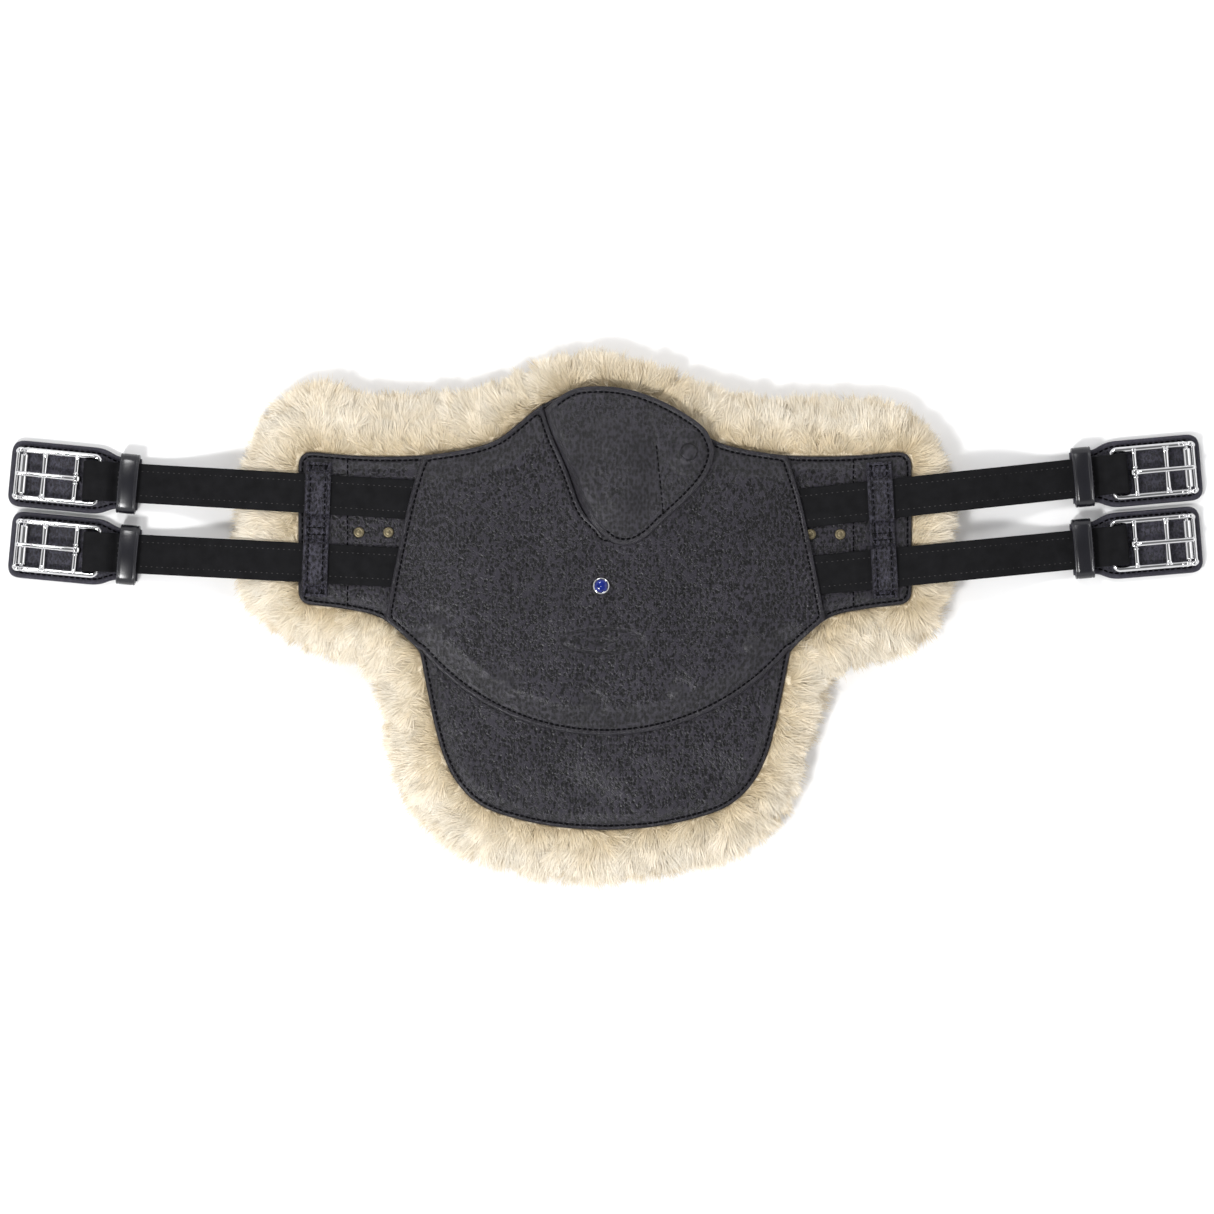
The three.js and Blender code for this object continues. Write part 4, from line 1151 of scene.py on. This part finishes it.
class Field:
    """How far inside a closed outline a point is (negative outside), read from a fine grid."""

    def __init__(self, outline, step=2.0, margin=45.0):
        self.low, self.step = outline.min(0) - margin, step
        self.size = np.ceil((outline.max(0) + margin - self.low) / step).astype(int) + 1
        gx, gy = np.meshgrid(*[self.low[i] + step * np.arange(self.size[i]) for i in (0, 1)], indexing="ij")
        points = np.column_stack([gx.ravel(), gy.ravel()])
        value = distance(points, resample(outline, 3.0), True) * np.where(inside(points, outline), 1, -1)
        value = value.reshape(self.size)
        self.layers = np.stack([value, *np.gradient(value, step)], 2)

    def read(self, points):
        place = np.clip((points - self.low) / self.step, 0, self.size - 1.001)
        i, j = place.astype(int).T
        u, v = (place - place.astype(int)).T[..., None]
        near, far = (self.layers[i, k] * (1 - u) + self.layers[i + 1, k] * u for k in (j, j + 1))
        return near * (1 - v) + far * v

    def __call__(self, points):
        return self.read(points)[:, 0]

    def slope(self, points):
        return self.read(points)[:, 1:]


PILE_FIELD, BASE_FIELD = Field(PILE_OUTLINE), Field(BASE_OUTLINE)


def undercoat_top(x, y):
    """Height of the woolly body: a rounded roll outside the leather, a flat bed under it."""
    points = xy(x, y)
    out = np.abs(PILE_FIELD(points))
    under = BASE_FIELD(points) > 0
    from_leather = np.abs(BASE_FIELD(points))
    roll = 5 + 17.5 * np.sqrt(np.clip(1 - (1 - np.clip((out - 4) / 15, 0, 1)) ** 2, 0, 1))
    roll = roll + 1.1 * soft_noise(x, y, 13, 21) + 0.6 * soft_noise(x, y, 6, 22) - 2.2 * parting(x, y)
    bed = 18.2 + (np.minimum(roll, 22.5) - 18.2) * np.exp(-((from_leather / 1.6) ** 2))
    near = 22.4 + (roll - 22.4) * smoothstep(from_leather / 3.5)
    return np.where(under, np.minimum(bed, 22.4), near)


def pile_body():
    loop = inset(resample(PILE_OUTLINE, 3.0), 4.5)
    loop = resample(counter_clockwise(loop), 3.0)
    verts, faces, _ = leather_sheet(loop, undercoat_top, 4.0, 4.2, 1.2, edge_step=3.0)
    n = len(verts) // 2
    d = distance(verts[n:, :2], loop, True)
    verts[n:, 2] = 0.6 + 3.6 * (1 - smoothstep(d / 9))
    return Geo().add(verts, faces).build("lambskin_body", UNDERCOAT, "girth", "wool", ["lambskin_pile"])


wool_body = pile_body()


def strap_ceiling(x, y):
    """Height the wool may reach: it stays pressed down under the straps."""
    ceiling = np.full(len(x), 60.0)
    for spec in ROWS:
        side, _, sx, sy, heading, _ = spec
        a = math.radians(180 - heading if side == "left" else heading)
        u = (x - sx) * math.cos(a) + (y - sy) * math.sin(a)
        v = -(x - sx) * math.sin(a) + (y - sy) * math.cos(a)
        below = (np.abs(v) < STRAP_W / 2 + 1.0) & (u > -20)
        ceiling = np.where(below, np.minimum(ceiling, strap_under(u) - 0.9), ceiling)
    return ceiling


LOCK_CELL, LOCK_TABLE = 5.0, 100003


def wool_locks(name, count, seed):
    """Fine curved fibres in soft locks, which leave the roll beside the leather and comb out past its rim."""
    rng = np.random.default_rng(seed)
    roots = rng.uniform(PILE_OUTLINE.min(0), PILE_OUTLINE.max(0), (count * 8, 2))
    chosen = np.flatnonzero((PILE_FIELD(roots) > 4.6) & (BASE_FIELD(roots) < 0))[:count]
    roots = roots[chosen]
    out, from_leather = PILE_FIELD(roots), -BASE_FIELD(roots)
    n = len(roots)
    away = -4 * (BASE_FIELD.slope(roots) + PILE_FIELD.slope(roots))
    away += smoothstep((roots[:, 1:] - 80) / 30) * (-1.1, 0.2)
    away /= np.maximum(np.linalg.norm(away, axis=1), 1e-6)[:, None]

    bent = roots + 2.2 * np.column_stack([np.sin(roots[:, 1] / 5), np.cos(roots[:, 0] / 5)])
    cells = np.floor(bent / LOCK_CELL).astype(int)
    centre = (cells + 0.5) * LOCK_CELL
    lock = np.random.default_rng(77).uniform(0, 1, (LOCK_TABLE, 5))
    lock = lock[(cells[:, 0] * 7919 + cells[:, 1] * 104729) % LOCK_TABLE]

    swirl = 0.6 * soft_noise(*roots.T, 30, 31) + 0.9 * (lock[:, 1] - 0.5) + rng.normal(0, 0.22, n)
    c, s = np.cos(swirl), np.sin(swirl)
    heading = np.column_stack([away[:, 0] * c - away[:, 1] * s, away[:, 0] * s + away[:, 1] * c])
    sideways = np.column_stack([-heading[:, 1], heading[:, 0]])

    z0 = undercoat_top(roots[:, 0], roots[:, 1]) - 0.3
    on_rim = out < 9
    z0 = np.maximum(z0 - rng.uniform(0, 1, n) * on_rim * 15, 1.2)
    edge = out + rng.triangular(-8, 0.5, 7.5, n) + 2.4 * (lock[:, 2] - 0.5)
    reach = np.clip(np.minimum(edge, 9 + 7 * lock[:, 2] + rng.normal(0, 1.5, n)), 3.5, None)
    lift = (2.4 + 2.6 * lock[:, 3] + rng.normal(0, 0.7, n)) * np.clip(out / 15, 0.15, 1)
    droop = np.where(z0 < 14, -np.minimum(z0 - 0.8, 4.0) * rng.uniform(0.3, 1, n), rng.uniform(-3.5, 0.6, n))
    root = np.column_stack([roots, z0])
    tip = np.column_stack([roots + heading * reach[:, None] + (centre - bent) * 0.5, z0 + droop + 0.3 * lift])
    middle = (root + tip) / 2
    middle[:, 2] += lift
    middle[:, :2] += (rng.normal(0, 1.0, (n, 1)) + (lock[:, 4:5] - 0.5) * 2.5) * sideways

    width = rng.uniform(0.2, 0.42, n)
    roll = rng.normal(0, 0.3, n)
    across = np.column_stack([sideways * np.cos(roll)[:, None], np.sin(roll)])
    verts, along = [], []
    for t, share in ((0, 0.85), (0.4, 1.0), (0.78, 0.7), (1.0, 0.0)):
        line = (1 - t) ** 2 * root + 2 * t * (1 - t) * middle + t * t * tip
        line[:, 2] = np.clip(line[:, 2], 0.4, strap_ceiling(line[:, 0], line[:, 1]))
        half = across * (width * share / 2)[:, None]
        pair = [line - half, line + half] if share else [line]
        verts += pair
        along += [np.full(n, t)] * len(pair)
    per = len(verts)
    verts = np.stack(verts, 1).reshape(-1, 3)
    # Painted shade: strands keep nearer the dark root tone beside the leather (painted shadow of its edge), low
    # on the roll and in the clefts where the wool parts.
    depth = 0.62 * smoothstep(from_leather / 16) * np.clip(z0 / 20, 0.3, 1) + 0.1 * (lock[:, 0] - 0.5)
    depth = depth - 0.3 * parting(roots[:, 0], roots[:, 1])
    depth = np.clip(depth, 0, 0.8)[:, None]
    along = np.stack(along, 1) * (0.95 - depth) * 0.8 + depth
    tone = np.repeat(np.clip(0.6 * lock[:, 0] + 0.4 * rng.uniform(0, 1, n), 0, 1), per)
    first = (np.arange(n) * per)[:, None]
    quads = np.vstack([first + np.array([[k, k + 1, k + 3, k + 2]]) for k in (0, 2)])
    ends = first + np.array([[4, 5, 6]])
    geo = Geo().add(verts, [quads, ends], along=along.ravel(), lock=tone)
    return geo.build(name, WOOL, "girth", "wool")


LOCK_PIECES = 5
for i in range(LOCK_PIECES):
    wool_locks(f"wool_locks_{i + 1}", 39000, 100 + i)

# -------- CAD nodes that stay, with their finishes

STAYING = {
    SUEDE: ["lambskin_hide"],
    PLASTIC: ["core_plate"],
    BRASS: [
        "tab_rivet",
        *[f"guard_rivet_{i}" for i in range(1, 6)],
        *[f"strap_rivet_{side}_{row}" for side, row, *_ in ROWS],
    ],
    STEEL: ["stud_socket", "stud_post", "stud_backing", "swivel_eye", "snap_hook", "snap_gate"],
    BRIDLE: ["hook_tab"],
}
for material, names in STAYING.items():
    for name in names:
        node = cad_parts[name]
        node.data.materials.clear()
        node.data.materials.append(material)

# -------- floor

floor_mesh = bpy.data.meshes.new("floor")
floor_mesh.from_pydata([(-4, -4, 0), (4, -4, 0), (4, 4, 0), (-4, 4, 0)], [], [(0, 1, 2, 3)])
floor = bpy.data.objects.new("floor", floor_mesh)
floor.location = (0, 0, -0.0003)
scene.collection.objects.link(floor)
paper = Nodes("white_paper")
paper.set(Roughness=0.9, Base_Color=(0.94, 0.94, 0.94, 1), Specular_IOR_Level=0.1)
floor_mesh.materials.append(paper.material)
